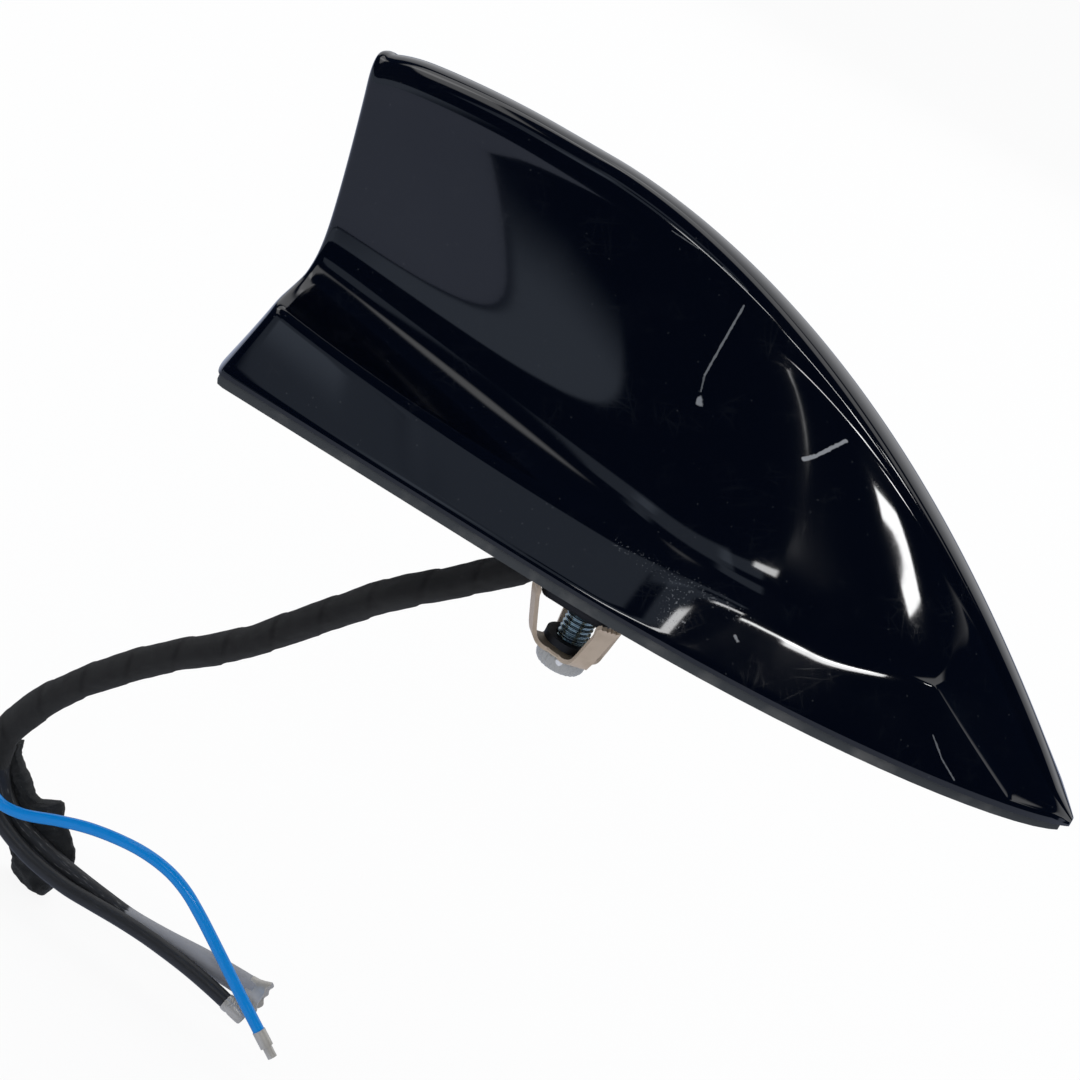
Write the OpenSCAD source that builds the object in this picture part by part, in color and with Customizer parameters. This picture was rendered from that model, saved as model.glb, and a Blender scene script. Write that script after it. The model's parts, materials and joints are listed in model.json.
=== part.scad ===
// Shark fin roof aerial: a glossy fin cover on a cast base, clamped through the roof by a spring
// claw and one bolt, with its taped loom and three leads. The roof plane is z = 0, the nose
// points along +X, and the clamp bolt is the Z axis.

/* [Fin cover] */
// Length of the base from the tail corners to the nose
cover_length = 164; // [154:1:176]
// Width across the base of the skirt
cover_width = 66; // [60:1:76]
// Height of the fin above the roof
fin_height = 62.8; // [56:0.5:72]
// Height of the rounded tip of the nose
nose_height = 3.8; // [3.4:0.1:5]
// Share of the length that lies in front of the clamp bolt
nose_share = 0.57; // [0.53:0.01:0.6]
// Thickness of the moulded wall
wall = 2.2; // [1.8:0.1:2.6]
// Width of the blunt ridge along the top
ridge_width = 12; // [11:0.1:14]
// Height of the belt line above the bolt
belt_height = 12.2; // [11:0.1:14]
// Distance that the belt line stands in from the base edge
belt_inset = 7.6; // [6.6:0.1:9]
// How far in the belt line stands where the skirt is steeper, towards the nose
front_inset = 4.8; // [4:0.1:6]
// Distance from the nose back to where the belt line turns down
belt_turn = 32; // [28:1:36]
// How far the tail stands in at its waist, from a line through the tail corners
tail_waist = 4.8; // [3:0.1:6]
// How far the top of the tail leans back past the waist
tail_lean = 7.6; // [6:0.1:10]
// How far the tail bows out at the middle, seen from above
tail_bow = 5; // [3:0.1:7]
// Depth of the rounding at each edge of the tail
tail_round = 2.4; // [2:0.1:3]

/* [Base] */
// Thickness of the rubber gasket
gasket_thickness = 2; // [1.6:0.1:2.6]
// Distance that the gasket stands in from the edge of the cover
gasket_inset = 0.5; // [0.3:0.1:1]
// Depth of the grooves between the sealing lips of the gasket
groove_depth = 0.7; // [0.4:0.1:0.9]
// Width of each groove in the gasket
groove_width = 2.4; // [1.6:0.1:3]
// Thickness of the cast base plate
plate_thickness = 2.6; // [2.2:0.1:3.2]
// Gap between the base plate and the wall of the cover
plate_gap = 0.4; // [0.3:0.1:0.8]
// Distance from the nose of the cover back to the nose of the base plate
plate_setback = 17; // [15:0.5:22]
// Height of the pillars that carry the circuit board
pillar_height = 3; // [2.4:0.1:4]
// Diameter of the pillars
pillar_diameter = 5.4; // [5:0.1:6.4]
// Width of the stiffening ribs of the base plate
rib_width = 1.6; // [1.2:0.1:2.2]
// Height of the stiffening ribs
rib_height = 1.4; // [0.8:0.1:2]

/* [Roof clamp] */
// Diameter of the clamp bolt
bolt_diameter = 6; // [5:0.5:8]
// Gap round the bolt in its bore
bolt_gap = 0.15; // [0.1:0.05:0.25]
// Height of the hexagon head
head_height = 3.6; // [3:0.1:4.6]
// Width of the hexagon head across its flats
head_flats = 9; // [8.6:0.1:10]
// Depth of the bolt head's underside below the roof
head_depth = 20.2; // [19:0.1:23]
// Depth of the neck below the roof
neck_depth = 10.5; // [9:0.1:11.5]
// Width of the bolt neck, sleeve included
neck_width = 12.4; // [11.6:0.1:13]
// Thickness of the plastic sleeve round the neck
sleeve_wall = 1.2; // [0.8:0.1:1.4]
// Depth of the cable spout below the roof
spout_depth = 4; // [3:0.1:5]
// Distance from the bolt back to the cable spout
spout_offset = 11.6; // [11:0.1:14]
// Diameter of the cable hole through the base
cable_hole = 8; // [7.8:0.1:8.6]
// Gap between the neck and the hole in the gasket
neck_gap = 0.6; // [0.4:0.1:1]
// Thickness of the spring steel of the claw
claw_sheet = 0.9; // [0.7:0.05:1.1]
// Width of each leg of the claw
leg_width = 4.6; // [3.6:0.1:5]
// Reach of the legs from the bolt at their widest
leg_reach = 9.6; // [9:0.1:10.6]
// Depth of the tips of the legs below the roof
tip_depth = 7.5; // [6.5:0.1:8.5]
// Thickness of the ring that holds the claw on the bolt
ring_thickness = 1.4; // [1:0.1:2]

/* [Circuit board] */
// Share of the cover's length that the main board takes, half of it behind the bolt
board_share = 0.512; // [0.49:0.002:0.53]
// Width of the main board
board_width = 28; // [26:0.5:30]
// Thickness of both boards
board_thickness = 1.6; // [1:0.1:2]
// Side of the square satellite patch
patch_side = 25; // [22:0.5:25]
// Thickness of the satellite patch
patch_thickness = 4; // [3:0.5:5]
// Width of the shield can
can_width = 20; // [14:0.5:22]
// Height of the shield can
can_height = 3.6; // [2.5:0.1:5]
// Thickness of the can's tinned sheet
can_sheet = 0.3; // [0.2:0.05:0.5]
// Height of the foot that holds the mast board
foot_height = 9; // [7:0.5:10]
// Diameter of the loading coil
coil_diameter = 6.4; // [5:0.2:7]
// Number of turns on the loading coil
coil_turns = 8; // [6:1:8]

/* [Screws] */
// Diameter of the screws that hold the cover
cover_screw = 2.9; // [2.6:0.1:3]
// Diameter of the bosses moulded inside the cover
boss_diameter = 6.4; // [6:0.1:7]
// Share of the cover's length from the bolt back to the rear pair of bosses
boss_rear_share = 0.335; // [0.32:0.005:0.35]
// Distance of the rear bosses from the middle
boss_rear_side = 20; // [18:0.5:21]
// Share of the cover's length from the bolt forward to the front pair of bosses
boss_front_share = 0.317; // [0.31:0.001:0.33]
// Distance of the front bosses from the middle
boss_front_side = 12.5; // [12:0.5:13]
// Diameter of the screws that hold the board
board_screw = 2.5; // [2:0.1:2.6]

/* [Loom and leads] */
// Diameter of the taped loom
loom_diameter = 6.2; // [5.6:0.1:6.8]
// Diameter of the blue lead
blue_diameter = 2.4; // [2:0.1:2.6]
// Diameter of the black lead
black_diameter = 3.2; // [2.6:0.1:3.3]
// Diameter of the grey lead
grey_diameter = 3.6; // [3:0.1:3.7]
// Length of the crimped contact on each lead
contact_length = 6; // [5:0.5:8]

/* [Hidden] */

$fn = 48;
nose_reach = nose_share * cover_length;
tail_x = nose_reach - cover_length;
shoulder_x = -10;
crest_x = -30;
tail_crest_x = -40;
upper_lean = 40;
belt_landing = 12;
swell_run = 20;
ridge_depth = 6.4;
nose_ridge_depth = 2.4;
front_rise = 1;
front_start = 4;
front_run = 26;
front_fullness = 0.86;
scoop_power = 11;
corner_run = 8;
corner_drop = 1.6;
ridge_run = 80;
taper_run = 90;
scoop_run = 110;
tail_drop = 2.8;
belt_rise = 3.2;
belt_swell = 2.6;
plan_power = 2.2;
plan_bluntness = 0.72;
ridge_power = 1.8;
nose_round = 1.5;
lip_height = 1;

outline_count = 24;
nose_width = 1.2;
nose_recess = 2;
cavity_count = 22;

// Clearances and small fixed sizes
skin = 0.5;
screw_gap = 0.25;
thread_gap = 0.05;
inner_gap = 0.1;
slot_gap = 0.1;

// Heights of the stack
plate_top = gasket_thickness + plate_thickness;
board_z = plate_top + pillar_height;
board_top = board_z + board_thickness;

// Gasket
groove_pitch = 5;

// Places along the cover that follow its length
boss_rear = boss_rear_share * cover_length;
boss_front = boss_front_share * cover_length;
board_length = board_share * cover_length;
board_rear = board_length / 2;

// Base plate
rib_length = 60;
rib_side = 8.5;
boss_top = 11;
pillar_edge = 3.2;
head_recess = 1.3;
screw_reach = 7;
board_screw_reach = 3.6;
neck_corner = 3.4;
bolt_top = 1;

// Clamp
head_chamfer = 0.7;
claw_root = 5;
tooth = 1.1;
leg_count = 4;
grommet_flange = 1.2;
far_above = 40;

// Leads inside the cover, from the grommet to their clips
inner_lead = 1.8;
inner_pitch = 2.5;
clip_x = -spout_offset - 11.4;
clip_length = 2.6;
clip_width = 2.4;
clip_sheet = 0.3;
clip_z = board_top + clip_sheet + inner_lead / 2;
inner_path = [
    [0, -spout_depth], [0, board_z - 4], [0, board_z], [-0.4, board_top + 1.2], [-2, board_top + 3.4],
    [-4.4, board_top + 4], [-6.8, board_top + 3.2], [-8.6, board_top + 1.8],
    [clip_x + clip_length / 2 + spout_offset, clip_z], [clip_x - clip_length / 2 + spout_offset, clip_z]
];

// Board and what it carries
board_corner = 2.5;
patch_x = board_length - board_rear - 2 * pillar_edge - patch_side / 2;
pin_shift = 2.5;
pin_diameter = 1.2;
pad_thickness = 0.8;
electrode_thickness = 0.2;
can_gap = 0.6;
can_front = patch_x - patch_side / 2 - can_gap;
can_rear = cable_hole / 2 + 1.6 - spout_offset;
can_length = can_front - can_rear;
can_x = (can_front + can_rear) / 2;
foot_x = clip_x - 10;
foot_length = 12;
foot_width = 8;
foot_floor = 2;
tab_length = 8;
mast_front = 0.024 * cover_length;
mast_rear = -0.366 * cover_length;
mast_step = 8;
mast_lift = 1;
mast_nose = 2;
mast_chin = 6;
mast_heel = 8;
mast_heel_in = 3;
trace_turns = 4;
trace_start = 7;
trace_ends = 12;
trace_lift = 9;
trace_top = 4;
trace_gap = 3;
trace_sheet = 0.2;
trace_width = 1.4;
foam_thickness = 2.4;
foam_gap = 0.8;
wire = 0.4;
coil_x = clip_x + 1;
coil_y = 9.5;
chip_places = [
    [coil_x - 1, -9.5, 5, 5, 1.2], [coil_x + 7.5, 9.5, 3, 4, 1.4], [coil_x + 7.5, -9.5, 4, 4, 1.6]
];

// Routes of the loom, of its loose tape end and of the leads
loom_path = [
    [-spout_offset, 0, -spout_depth], [-spout_offset, 0, -7], [-13.2, 0, -10], [-16, 0, -13], [-20, 0, -17],
    [-25, 0, -21.8], [-31, 0, -27], [-36.5, 0, -32.5], [-42, 0, -39], [-48, 0, -46], [-54, 0, -53],
    [-60, 0, -59], [-67, 0, -65], [-73.5, 0, -71.5], [-80, 0, -78.5], [-86, 0, -86.5], [-90, 0, -93.5],
    [-92.6, 0, -100], [-93.2, 0, -104], [-93.2, 0, -108]
];
loom_widths = [for (j = [0 : len(loom_path) - 1]) loom_diameter + max(0, j - len(loom_path) + 3) * 0.6];
tape_path = [
    [-93.4, 4.4, -104], [-92.4, 5.4, -109], [-88.2, 7.4, -115.5], [-82.6, 8.2, -121], [-78.6, 8, -126],
    [-76.2, 7.6, -130]
];
tape_widths = [5, 8, 12, 17, 16, 7];
blue_path = [
    [-92, -1.9, -108], [-92, -1.9, -109], [-91.4, -2.2, -110.6], [-89.6, -2.7, -112.6],
    [-86.6, -3, -113.6], [-83, -3, -113.2], [-79.5, -3, -112], [-74, -3, -109.4], [-67.7, -3, -106.9],
    [-61, -3, -105.2], [-54.6, -3, -104.4], [-48.6, -3, -104.8], [-43.6, -3, -106.4], [-39, -3, -109],
    [-34.6, -3, -111.9], [-30.5, -3, -114.7], [-26, -3, -117.8], [-21.7, -3, -120.7],
    [-17.5, -3, -123.5]
];
black_path = [
    [-94.8, -0.2, -108], [-94.8, -0.2, -109], [-94.2, 0, -111.8], [-91.8, 0, -115.4], [-87, 0, -118.8],
    [-80.5, 0, -121.4], [-74.5, 0, -122.7], [-67.5, 0, -123.2], [-61, 0, -122.8], [-54.5, 0, -122.3],
    [-48, 0, -122.1], [-42, 0, -122.3], [-36.5, 0, -122.7], [-31, 0, -123.4], [-26.5, 0, -124.2]
];
grey_path = [
    [-91.9, 1.9, -108], [-91.9, 1.9, -109], [-91.4, 2.6, -111.2], [-89.6, 3.2, -114.6],
    [-86.4, 3.5, -117.6], [-82, 3.5, -119.7], [-74.5, 3.5, -121.3], [-67, 3.5, -122.1],
    [-60, 3.5, -122.6], [-53, 3.5, -122.8], [-45, 3.5, -122.1], [-37, 3.5, -121], [-30, 3.5, -120.3],
    [-23.5, 3.5, -119.9]
];
crimp_wall = 0.15;

// Widths of small screw heads follow their threads
function screw_head(diameter) = 1.8 * diameter;
function pan_height(diameter) = 0.4 * diameter;

// Places along the cover, close together at the nose
station_count = 38;
station_bias = 1.5;
flank_steps = 9;
ridge_angles = [32, 60, 90];
tail_steps = [0.1, 0.45, 0.75, 0.92, 0.985];
tail_power = 4;
edge_fall = 0.04;
waist_z = 19;

function smooth(t) = let (u = min(1, max(0, t))) u * u * (3 - 2 * u);
function mix(a, b, t) = a + (b - a) * t;

// Half width of the base at x, set in by a wall's thickness
function plan_half(x, inset, setback) =
    let (t = max(0, (x - shoulder_x) / (nose_reach - setback - shoulder_x)))
    (cover_width / 2 - inset) * pow(max(0.0005, 1 - pow(t, plan_power)), plan_bluntness);

// Height of the ridge at x
function ridge_top(x, inset) =
    let (fall = max(0, (x - crest_x) / (nose_reach - nose_round - 2 * inset - crest_x)))
    let (back = max(0, (tail_crest_x - x) / (tail_crest_x - tail_x)))
    let (corner = min(1, max(0, 1 - (x - tail_x) / corner_run)))
    fin_height - inset - (fin_height - inset - nose_height) * pow(fall, ridge_power)
    - tail_drop * back * back - corner_drop * pow(corner, 2.6);

// How far the tail stands in at height z: in towards the waist, then back to the top
function lean(z) =
    let (t = (z - waist_z) / (z < waist_z ? waist_z : upper_lean))
    tail_waist - (t < 0 ? tail_waist : tail_lean) * pow(abs(t), 1.25);

// How far the tail bows back at a distance y from the middle
function bow(y) = tail_bow * (1 - pow(2 * y / cover_width, 2));

// How far the rounded edge of the tail falls back where the width is down to a share f
function edge_back(f) = tail_round * pow(1 - pow(f, tail_power), 1 / tail_power);

// One side of the section at x, as [y, z] from the base edge to the middle of the ridge
function half_section(x, inset) =
    let (half = plan_half(x, inset, 2 * inset))
    let (top = ridge_top(x, inset))
    let (rise = top - gasket_thickness)
    let (turn = nose_reach - belt_turn)
    let (down = min(1, max(0, (x - turn) / (belt_turn - belt_landing))))
    let (lip = gasket_thickness + min(lip_height, 0.25 * rise))
    let (steeper = smooth((x - front_start) / front_run))
    let (belt = belt_height + front_rise * steeper + belt_rise * pow(max(0, x / tail_x), 2.5)
        + belt_swell * smooth((x - turn + swell_run) / swell_run) - 0.9 * inset)
    let (belt_z = min(mix(belt, lip + 0.8, down), gasket_thickness + 0.55 * rise))
    let (belt_in = mix(belt_inset, front_inset, steeper))
    let (belt_y = half - min(belt_in * (1 - down) + 0.3, 0.45 * half))
    let (blunt = max(0.6, ridge_width / 2 - 0.95 * inset))
    let (ridge_y = min(blunt * mix(1, 0.6, smooth(x / taper_run)), 0.5 * half))
    let (depth = mix(ridge_depth, nose_ridge_depth, smooth((x - crest_x) / ridge_run)))
    let (ridge_z = top - min(depth, 0.22 * rise))
    let (forward = smooth((x - tail_x) / scoop_run))
    let (straight = mix(0.14, 0.9, forward))
    let (fullness = mix(1, front_fullness, forward))
    [
        [half, gasket_thickness - (inset > 0 ? skin : 0)],
        [half, lip],
        [mix(half, belt_y, 0.88), mix(lip, belt_z, 0.88)],
        for (i = [0 : flank_steps])
            let (t = pow((i + 0.5) / (flank_steps + 0.5), 1.7))
            [
                mix(
                    ridge_y, belt_y,
                    straight * pow(1 - t, fullness) + (1 - straight) * pow(1 - t, scoop_power)
                ),
                mix(belt_z, ridge_z, t)
            ],
        for (a = ridge_angles)
            [a == 90 ? 0 : ridge_y * pow(cos(a), 0.8), mix(ridge_z, top, pow(sin(a), 0.8))]
    ];

// A whole row of points across the fin: x is the station, squeeze narrows it round the tail
function row(x, squeeze, back, inset) =
    let (side = half_section(x, inset))
    let (n = len(side))
    let (lag = pow(max(0, (nose_reach - x) / cover_length), 3))
    [
        for (i = [0 : 2 * n - 2])
            let (p = i < n ? side[i] : side[2 * n - 2 - i])
            let (z = p[1] - (1 - squeeze) * edge_fall * max(0, p[1] - gasket_thickness))
            let (tail = inset == 0 ? 0 : inset - 0.8 * tail_round)
            [
                x - back + lag * (tail + lean(p[1]) - bow(p[0] * squeeze)),
                (i < n ? -1 : 1) * p[0] * squeeze,
                z
            ]
    ];

// Rows from the rounded tail to the nose; the inside has fewer and a plain tail
function rows(inset, count) = [
    if (inset == 0)
        for (f = tail_steps)
            row(tail_x, f, edge_back(f), inset),
    for (j = [0 : count - 1])
        let (t = 1 - pow(1 - j / count, station_bias))
        row(mix(tail_x, nose_reach - 2 * inset, t), 1, 0, inset)
];

// Faces that close the end of a loft, straight across from one side to the other
function cap(m) = [
    for (i = [0 : ceil(m / 2) - 2])
        i + 1 == m - 2 - i ? [i, i + 1, m - 1 - i] : [i, i + 1, m - 2 - i, m - 1 - i]
];

// A closed solid through rows of equally many points
module loft(grid) {
    m = len(grid[0]);
    n = len(grid);
    polyhedron(
        points = [for (r = grid) each r],
        faces = [
            for (j = [0 : n - 2], i = [0 : m - 1])
                let (k = (i + 1) % m)
                each [
                    [j * m + i, (j + 1) * m + k, (j + 1) * m + i],
                    [j * m + i, j * m + k, (j + 1) * m + k]
                ],
            for (f = cap(m)) [for (i = [len(f) - 1 : -1 : 0]) f[i]],
            for (f = cap(m)) [for (i = f) (n - 1) * m + i]
        ]
    );
}

// How far the inside of the skirt leans in between its lip and height z
function skirt_fall(z) =
    (belt_inset + 0.3) * (z - gasket_thickness - lip_height)
    / (belt_height - 0.9 * wall - gasket_thickness - lip_height);

// Outline of the base seen from above, set in from the edge of the cover
function outline(inset, setback, tail_gap) =
    let (half = plan_half(tail_x, inset, setback))
    let (foot = tail_x + lean(gasket_thickness) + tail_gap)
    let (near = [
        for (f = tail_steps)
            [foot - edge_back(f) - bow(half * f), -half * f],
        for (j = [0 : outline_count])
            let (t = 1 - pow(1 - j / outline_count, station_bias))
            let (x = mix(foot, nose_reach - setback, t))
            let (y = plan_half(x, inset, setback))
            [x - (j == 0 ? bow(y) : 0), -max(y, nose_width / 2)]
    ])
    concat(near, [for (i = [len(near) - 1 : -1 : 0]) [near[i][0], -near[i][1]]]);

// A tube of flat sides swept along points that lie close to the y = 0 plane
module tube(path, diameter, sides, flat = 1) {
    n = len(path);
    loft([
        for (j = [0 : n - 1])
            let (d = path[min(n - 1, j + 1)] - path[max(0, j - 1)])
            let (t = d / norm(d))
            let (b = cross(t, [0, 1, 0]))
            let (u = b / norm(b))
            let (v = cross(u, t))
            let (r = (is_list(diameter) ? diameter[j] : diameter) / 2)
            [
                for (k = [0 : sides - 1])
                    let (a = -90 + k * 360 / sides)
                    path[j] + u * r * cos(a) + v * r * flat * sin(a)
            ]
    ]);
}

// Carries its children from the origin to a point, with +Z along a direction
module along(place, direction) {
    flat = norm([direction[0], direction[1]]);
    translate(place)
        rotate([0, atan2(flat, direction[2]), atan2(direction[1], direction[0])])
            children();
}

// A rectangle with true round corners, centred
module round_rect(length, width, radius) {
    square([length - 2 * radius, width], center = true);
    square([length, width - 2 * radius], center = true);
    for (x = [-1, 1], y = [-1, 1])
        translate([x * (length / 2 - radius), y * (width / 2 - radius)]) circle(radius);
}

// The neck seen from above: a block round the bolt and a round spout behind it
module neck_plan(grow) {
    width = neck_width + 2 * grow;
    round_rect(width, width, neck_corner + grow);
    translate([-spout_offset, -width / 2]) square([spout_offset, width]);
    translate([-spout_offset, 0]) circle(width / 2);
}

// Just the block round the bolt
module block_plan(grow) {
    round_rect(neck_width + 2 * grow, neck_width + 2 * grow, neck_corner + grow);
}

module boss_places() {
    for (y = [-1, 1]) {
        translate([-boss_rear, y * boss_rear_side, 0]) children();
        translate([boss_front, y * boss_front_side, 0]) children();
    }
}

module pillar_places() {
    for (x = [pillar_edge - board_rear, board_length - board_rear - pillar_edge], y = [-1, 1])
        translate([x, y * (board_width / 2 - pillar_edge), 0]) children();
}

module fin_cover() {
    color([0.02, 0.02, 0.03]) difference() {
        loft(rows(0, station_count));
        difference() {
            cover_hollow();
            boss_places() translate([0, 0, plate_top]) cylinder(d = boss_diameter, h = fin_height);
        }
        boss_places() translate([0, 0, plate_top - skin])
            cylinder(d = cover_screw, h = screw_reach + skin);
    }
}

// The hollow of the cover, with a skirt that runs out through its open underside
module cover_hollow() {
    loft(rows(wall, cavity_count));
}

module roof_gasket() {
    color([0.16, 0.16, 0.17]) difference() {
        linear_extrude(gasket_thickness)
            difference() {
                polygon(outline(gasket_inset, nose_recess, gasket_inset));
                neck_plan(neck_gap);
            }
        for (lip = [1 : 2])
            translate([0, 0, -skin]) linear_extrude(groove_depth + skin)
                difference() {
                    polygon(outline(lip * groove_pitch, 2 * lip * groove_pitch, lip * groove_pitch));
                    polygon(outline(lip * groove_pitch + groove_width,
                        2 * (lip * groove_pitch + groove_width), lip * groove_pitch + groove_width));
                }
    }
}

module base_plate() {
    inset = wall + plate_gap + skirt_fall(plate_top);
    color([0.72, 0.73, 0.74]) difference() {
        union() {
            translate([0, 0, gasket_thickness]) linear_extrude(plate_thickness)
                polygon(outline(inset, plate_setback, wall + plate_gap + tail_round));
            translate([0, 0, sleeve_wall - neck_depth])
                linear_extrude(neck_depth - sleeve_wall + gasket_thickness)
                    block_plan(-sleeve_wall);
            translate([0, 0, -spout_depth])
                linear_extrude(spout_depth + gasket_thickness)
                    neck_plan(-sleeve_wall);
            pillar_places() translate([0, 0, plate_top])
                cylinder(d = pillar_diameter, h = pillar_height);
            for (y = [-1, 1])
                translate([-rib_length / 2, y * rib_side - rib_width / 2, plate_top])
                    cube([rib_length, rib_width, rib_height]);
            translate([0, 0, plate_top]) cylinder(d = boss_top, h = rib_height);
        }
        translate([0, 0, -neck_depth - skin])
            cylinder(d = bolt_diameter + 2 * bolt_gap, h = neck_depth + bolt_top + bolt_gap + skin);
        translate([-spout_offset, 0, -spout_depth - skin])
            cylinder(d = cable_hole, h = spout_depth + plate_top + rib_height + 2 * skin);
        boss_places() translate([0, 0, gasket_thickness - skin]) {
            cylinder(d = cover_screw + 2 * screw_gap, h = plate_thickness + 2 * skin);
            cylinder(d = screw_head(cover_screw) + 2 * screw_gap, h = head_recess + skin);
        }
        pillar_places() translate([0, 0, board_z - board_screw_reach])
            cylinder(d = board_screw, h = board_screw_reach + skin);
    }
}

// A pan head screw that hangs from the middle of its seat
module pan_screw(diameter, reach) {
    translate([0, 0, -reach]) cylinder(d = diameter, h = reach);
    difference() {
        cylinder(d = screw_head(diameter), h = pan_height(diameter));
        translate([0, 0, pan_height(diameter) / 2]) {
            cube([diameter * 1.1, diameter * 0.22, diameter], center = true);
            cube([diameter * 0.22, diameter * 1.1, diameter], center = true);
        }
    }
}

module cover_screws() {
    color([0.75, 0.76, 0.78]) boss_places()
        translate([0, 0, gasket_thickness + head_recess]) mirror([0, 0, 1])
            pan_screw(cover_screw - 2 * thread_gap, plate_thickness - head_recess + screw_reach - 1);
}

module board_screws() {
    color([0.8, 0.81, 0.83]) pillar_places()
        translate([0, 0, board_z + board_thickness])
            pan_screw(board_screw - 2 * thread_gap, board_thickness + board_screw_reach - 0.4);
}

module neck_sleeve() {
    color([0.04, 0.04, 0.045]) {
        translate([0, 0, -neck_depth]) linear_extrude(sleeve_wall) difference() {
            block_plan(0);
            circle(d = bolt_diameter + 2 * bolt_gap);
        }
        translate([0, 0, sleeve_wall - neck_depth]) linear_extrude(neck_depth - sleeve_wall - spout_depth)
            difference() {
                block_plan(0);
                block_plan(-sleeve_wall);
            }
        translate([0, 0, -spout_depth]) linear_extrude(spout_depth) difference() {
            neck_plan(0);
            neck_plan(-sleeve_wall);
        }
    }
}

module clamp_bolt() {
    color([0.62, 0.66, 0.68]) {
        translate([0, 0, -head_depth - head_height]) {
            intersection() {
                cylinder(d = head_flats / cos(30), h = head_height, $fn = 6);
                rotate_extrude() polygon([
                    [0, 0], [head_flats / 2 - head_chamfer, 0],
                    [head_flats / 2 / cos(30), 2 * head_chamfer],
                    [head_flats / 2 / cos(30), head_height], [0, head_height]
                ]);
            }
        }
        translate([0, 0, -head_depth]) cylinder(d = bolt_diameter, h = head_depth + bolt_top - 1);
        translate([0, 0, bolt_top - 1]) cylinder(d1 = bolt_diameter, d2 = bolt_diameter - 2, h = 1);
    }
}

// Outline of a bent sheet: points along one face, then back along the other
function sheet(line, thickness) =
    let (n = len(line))
    let (side = [
        for (j = [0 : n - 1])
            let (a = line[max(0, j - 1)])
            let (b = line[min(n - 1, j + 1)])
            let (d = (b - a) / norm(b - a))
            line[j] + [-d[1], d[0]] * thickness
    ])
    concat(line, [for (j = [n - 1 : -1 : 0]) side[j]]);

module roof_claw() {
    low = -head_depth;
    high = -tip_depth;
    leg_line = [
        [claw_root, low], [claw_root + 1, low + 0.2], [leg_reach - 1.2, low + 3.6],
        [leg_reach - 0.2, low + 5.4], [leg_reach, low + 7], [leg_reach - 0.2, high - 2.6],
        [leg_reach + 0.4, high]
    ];
    color([0.72, 0.64, 0.52]) difference() {
        union() {
            translate([0, 0, low]) cylinder(r = claw_root + 0.4, h = claw_sheet);
            for (k = [0 : leg_count - 1])
                rotate([90, 0, 45 + k * 360 / leg_count])
                    translate([0, 0, -leg_width / 2]) linear_extrude(leg_width)
                        polygon(sheet(leg_line, claw_sheet));
        }
        translate([0, 0, low - skin])
            cylinder(d = bolt_diameter + 2 * bolt_gap, h = claw_sheet + 2 * skin);
        for (k = [0 : leg_count - 1], side = [-1, 1])
            rotate([0, 0, 45 + k * 360 / leg_count])
                translate([leg_reach, side * leg_width / 4, high])
                    rotate([45, 0, 0]) cube([4 * claw_sheet, tooth, tooth], center = true);
    }
}

module claw_ring() {
    color([0.05, 0.05, 0.05]) translate([0, 0, claw_sheet - head_depth]) difference() {
        cylinder(d = 2 * claw_root, h = ring_thickness);
        translate([0, 0, -skin])
            cylinder(d = bolt_diameter + 2 * bolt_gap, h = ring_thickness + 2 * skin);
    }
}

module cable_grommet() {
    color([0.1, 0.1, 0.1]) difference() {
        translate([-spout_offset, 0, -spout_depth]) {
            cylinder(d = cable_hole, h = spout_depth + plate_top);
            translate([0, 0, spout_depth + plate_top]) cylinder(d = cable_hole + 1.2, h = grommet_flange);
        }
        for (k = [-1 : 1])
            translate([-spout_offset, k * inner_pitch, -spout_depth - skin])
                cylinder(d = inner_lead + 2 * inner_gap, h = far_above);
    }
}

module board_plan() {
    translate([board_length / 2 - board_rear, 0]) round_rect(board_length, board_width, board_corner);
}

module main_board() {
    color([0.05, 0.3, 0.16]) difference() {
        translate([0, 0, board_z]) linear_extrude(board_thickness) board_plan();
        pillar_places() translate([0, 0, board_z - skin])
            cylinder(d = board_screw + 2 * screw_gap, h = board_thickness + 2 * skin);
        translate([-spout_offset, 0, board_z - skin])
            cylinder(d = cable_hole - 0.6, h = board_thickness + 2 * skin);
        translate([patch_x + pin_shift, 0, board_z - skin])
            cylinder(d = pin_diameter + 2 * inner_gap, h = board_thickness + 2 * skin);
    }
}

module shield_can() {
    color([0.78, 0.78, 0.76]) translate([can_x, 0, board_top]) difference() {
        translate([-can_length / 2, -can_width / 2, 0]) cube([can_length, can_width, can_height]);
        translate([can_sheet - can_length / 2, can_sheet - can_width / 2, -skin])
            cube([can_length - 2 * can_sheet, can_width - 2 * can_sheet, can_height - can_sheet + skin]);
        for (x = [-1, 1], y = [-1 : 1])
            translate([x * can_length / 4, y * can_width / 4, 0]) cylinder(d = 1.6, h = can_height + skin);
    }
}

// A square slab of the patch stack with the hole for its feed pin
module patch_slab(low, side, thickness) {
    difference() {
        translate([patch_x - side / 2, -side / 2, low]) cube([side, side, thickness]);
        translate([patch_x + pin_shift, 0, low - skin])
            cylinder(d = pin_diameter + 2 * inner_gap, h = thickness + 2 * skin);
    }
}

module patch_pad() {
    color([0.9, 0.9, 0.85]) patch_slab(board_top, patch_side - 1, pad_thickness);
}

module satellite_patch() {
    color([0.75, 0.68, 0.55]) patch_slab(board_top + pad_thickness, patch_side, patch_thickness);
}

module patch_electrode() {
    color([0.85, 0.85, 0.83])
        patch_slab(board_top + pad_thickness + patch_thickness, patch_side - 4, electrode_thickness);
}

module patch_pin() {
    top = board_top + pad_thickness + patch_thickness + electrode_thickness;
    color([0.85, 0.8, 0.6]) translate([patch_x + pin_shift, 0, board_z - 0.6]) {
        cylinder(d = pin_diameter, h = top - board_z + 0.6);
        translate([0, 0, top - board_z + 0.6]) cylinder(d = 2 * pin_diameter, h = 0.4);
    }
}

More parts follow.
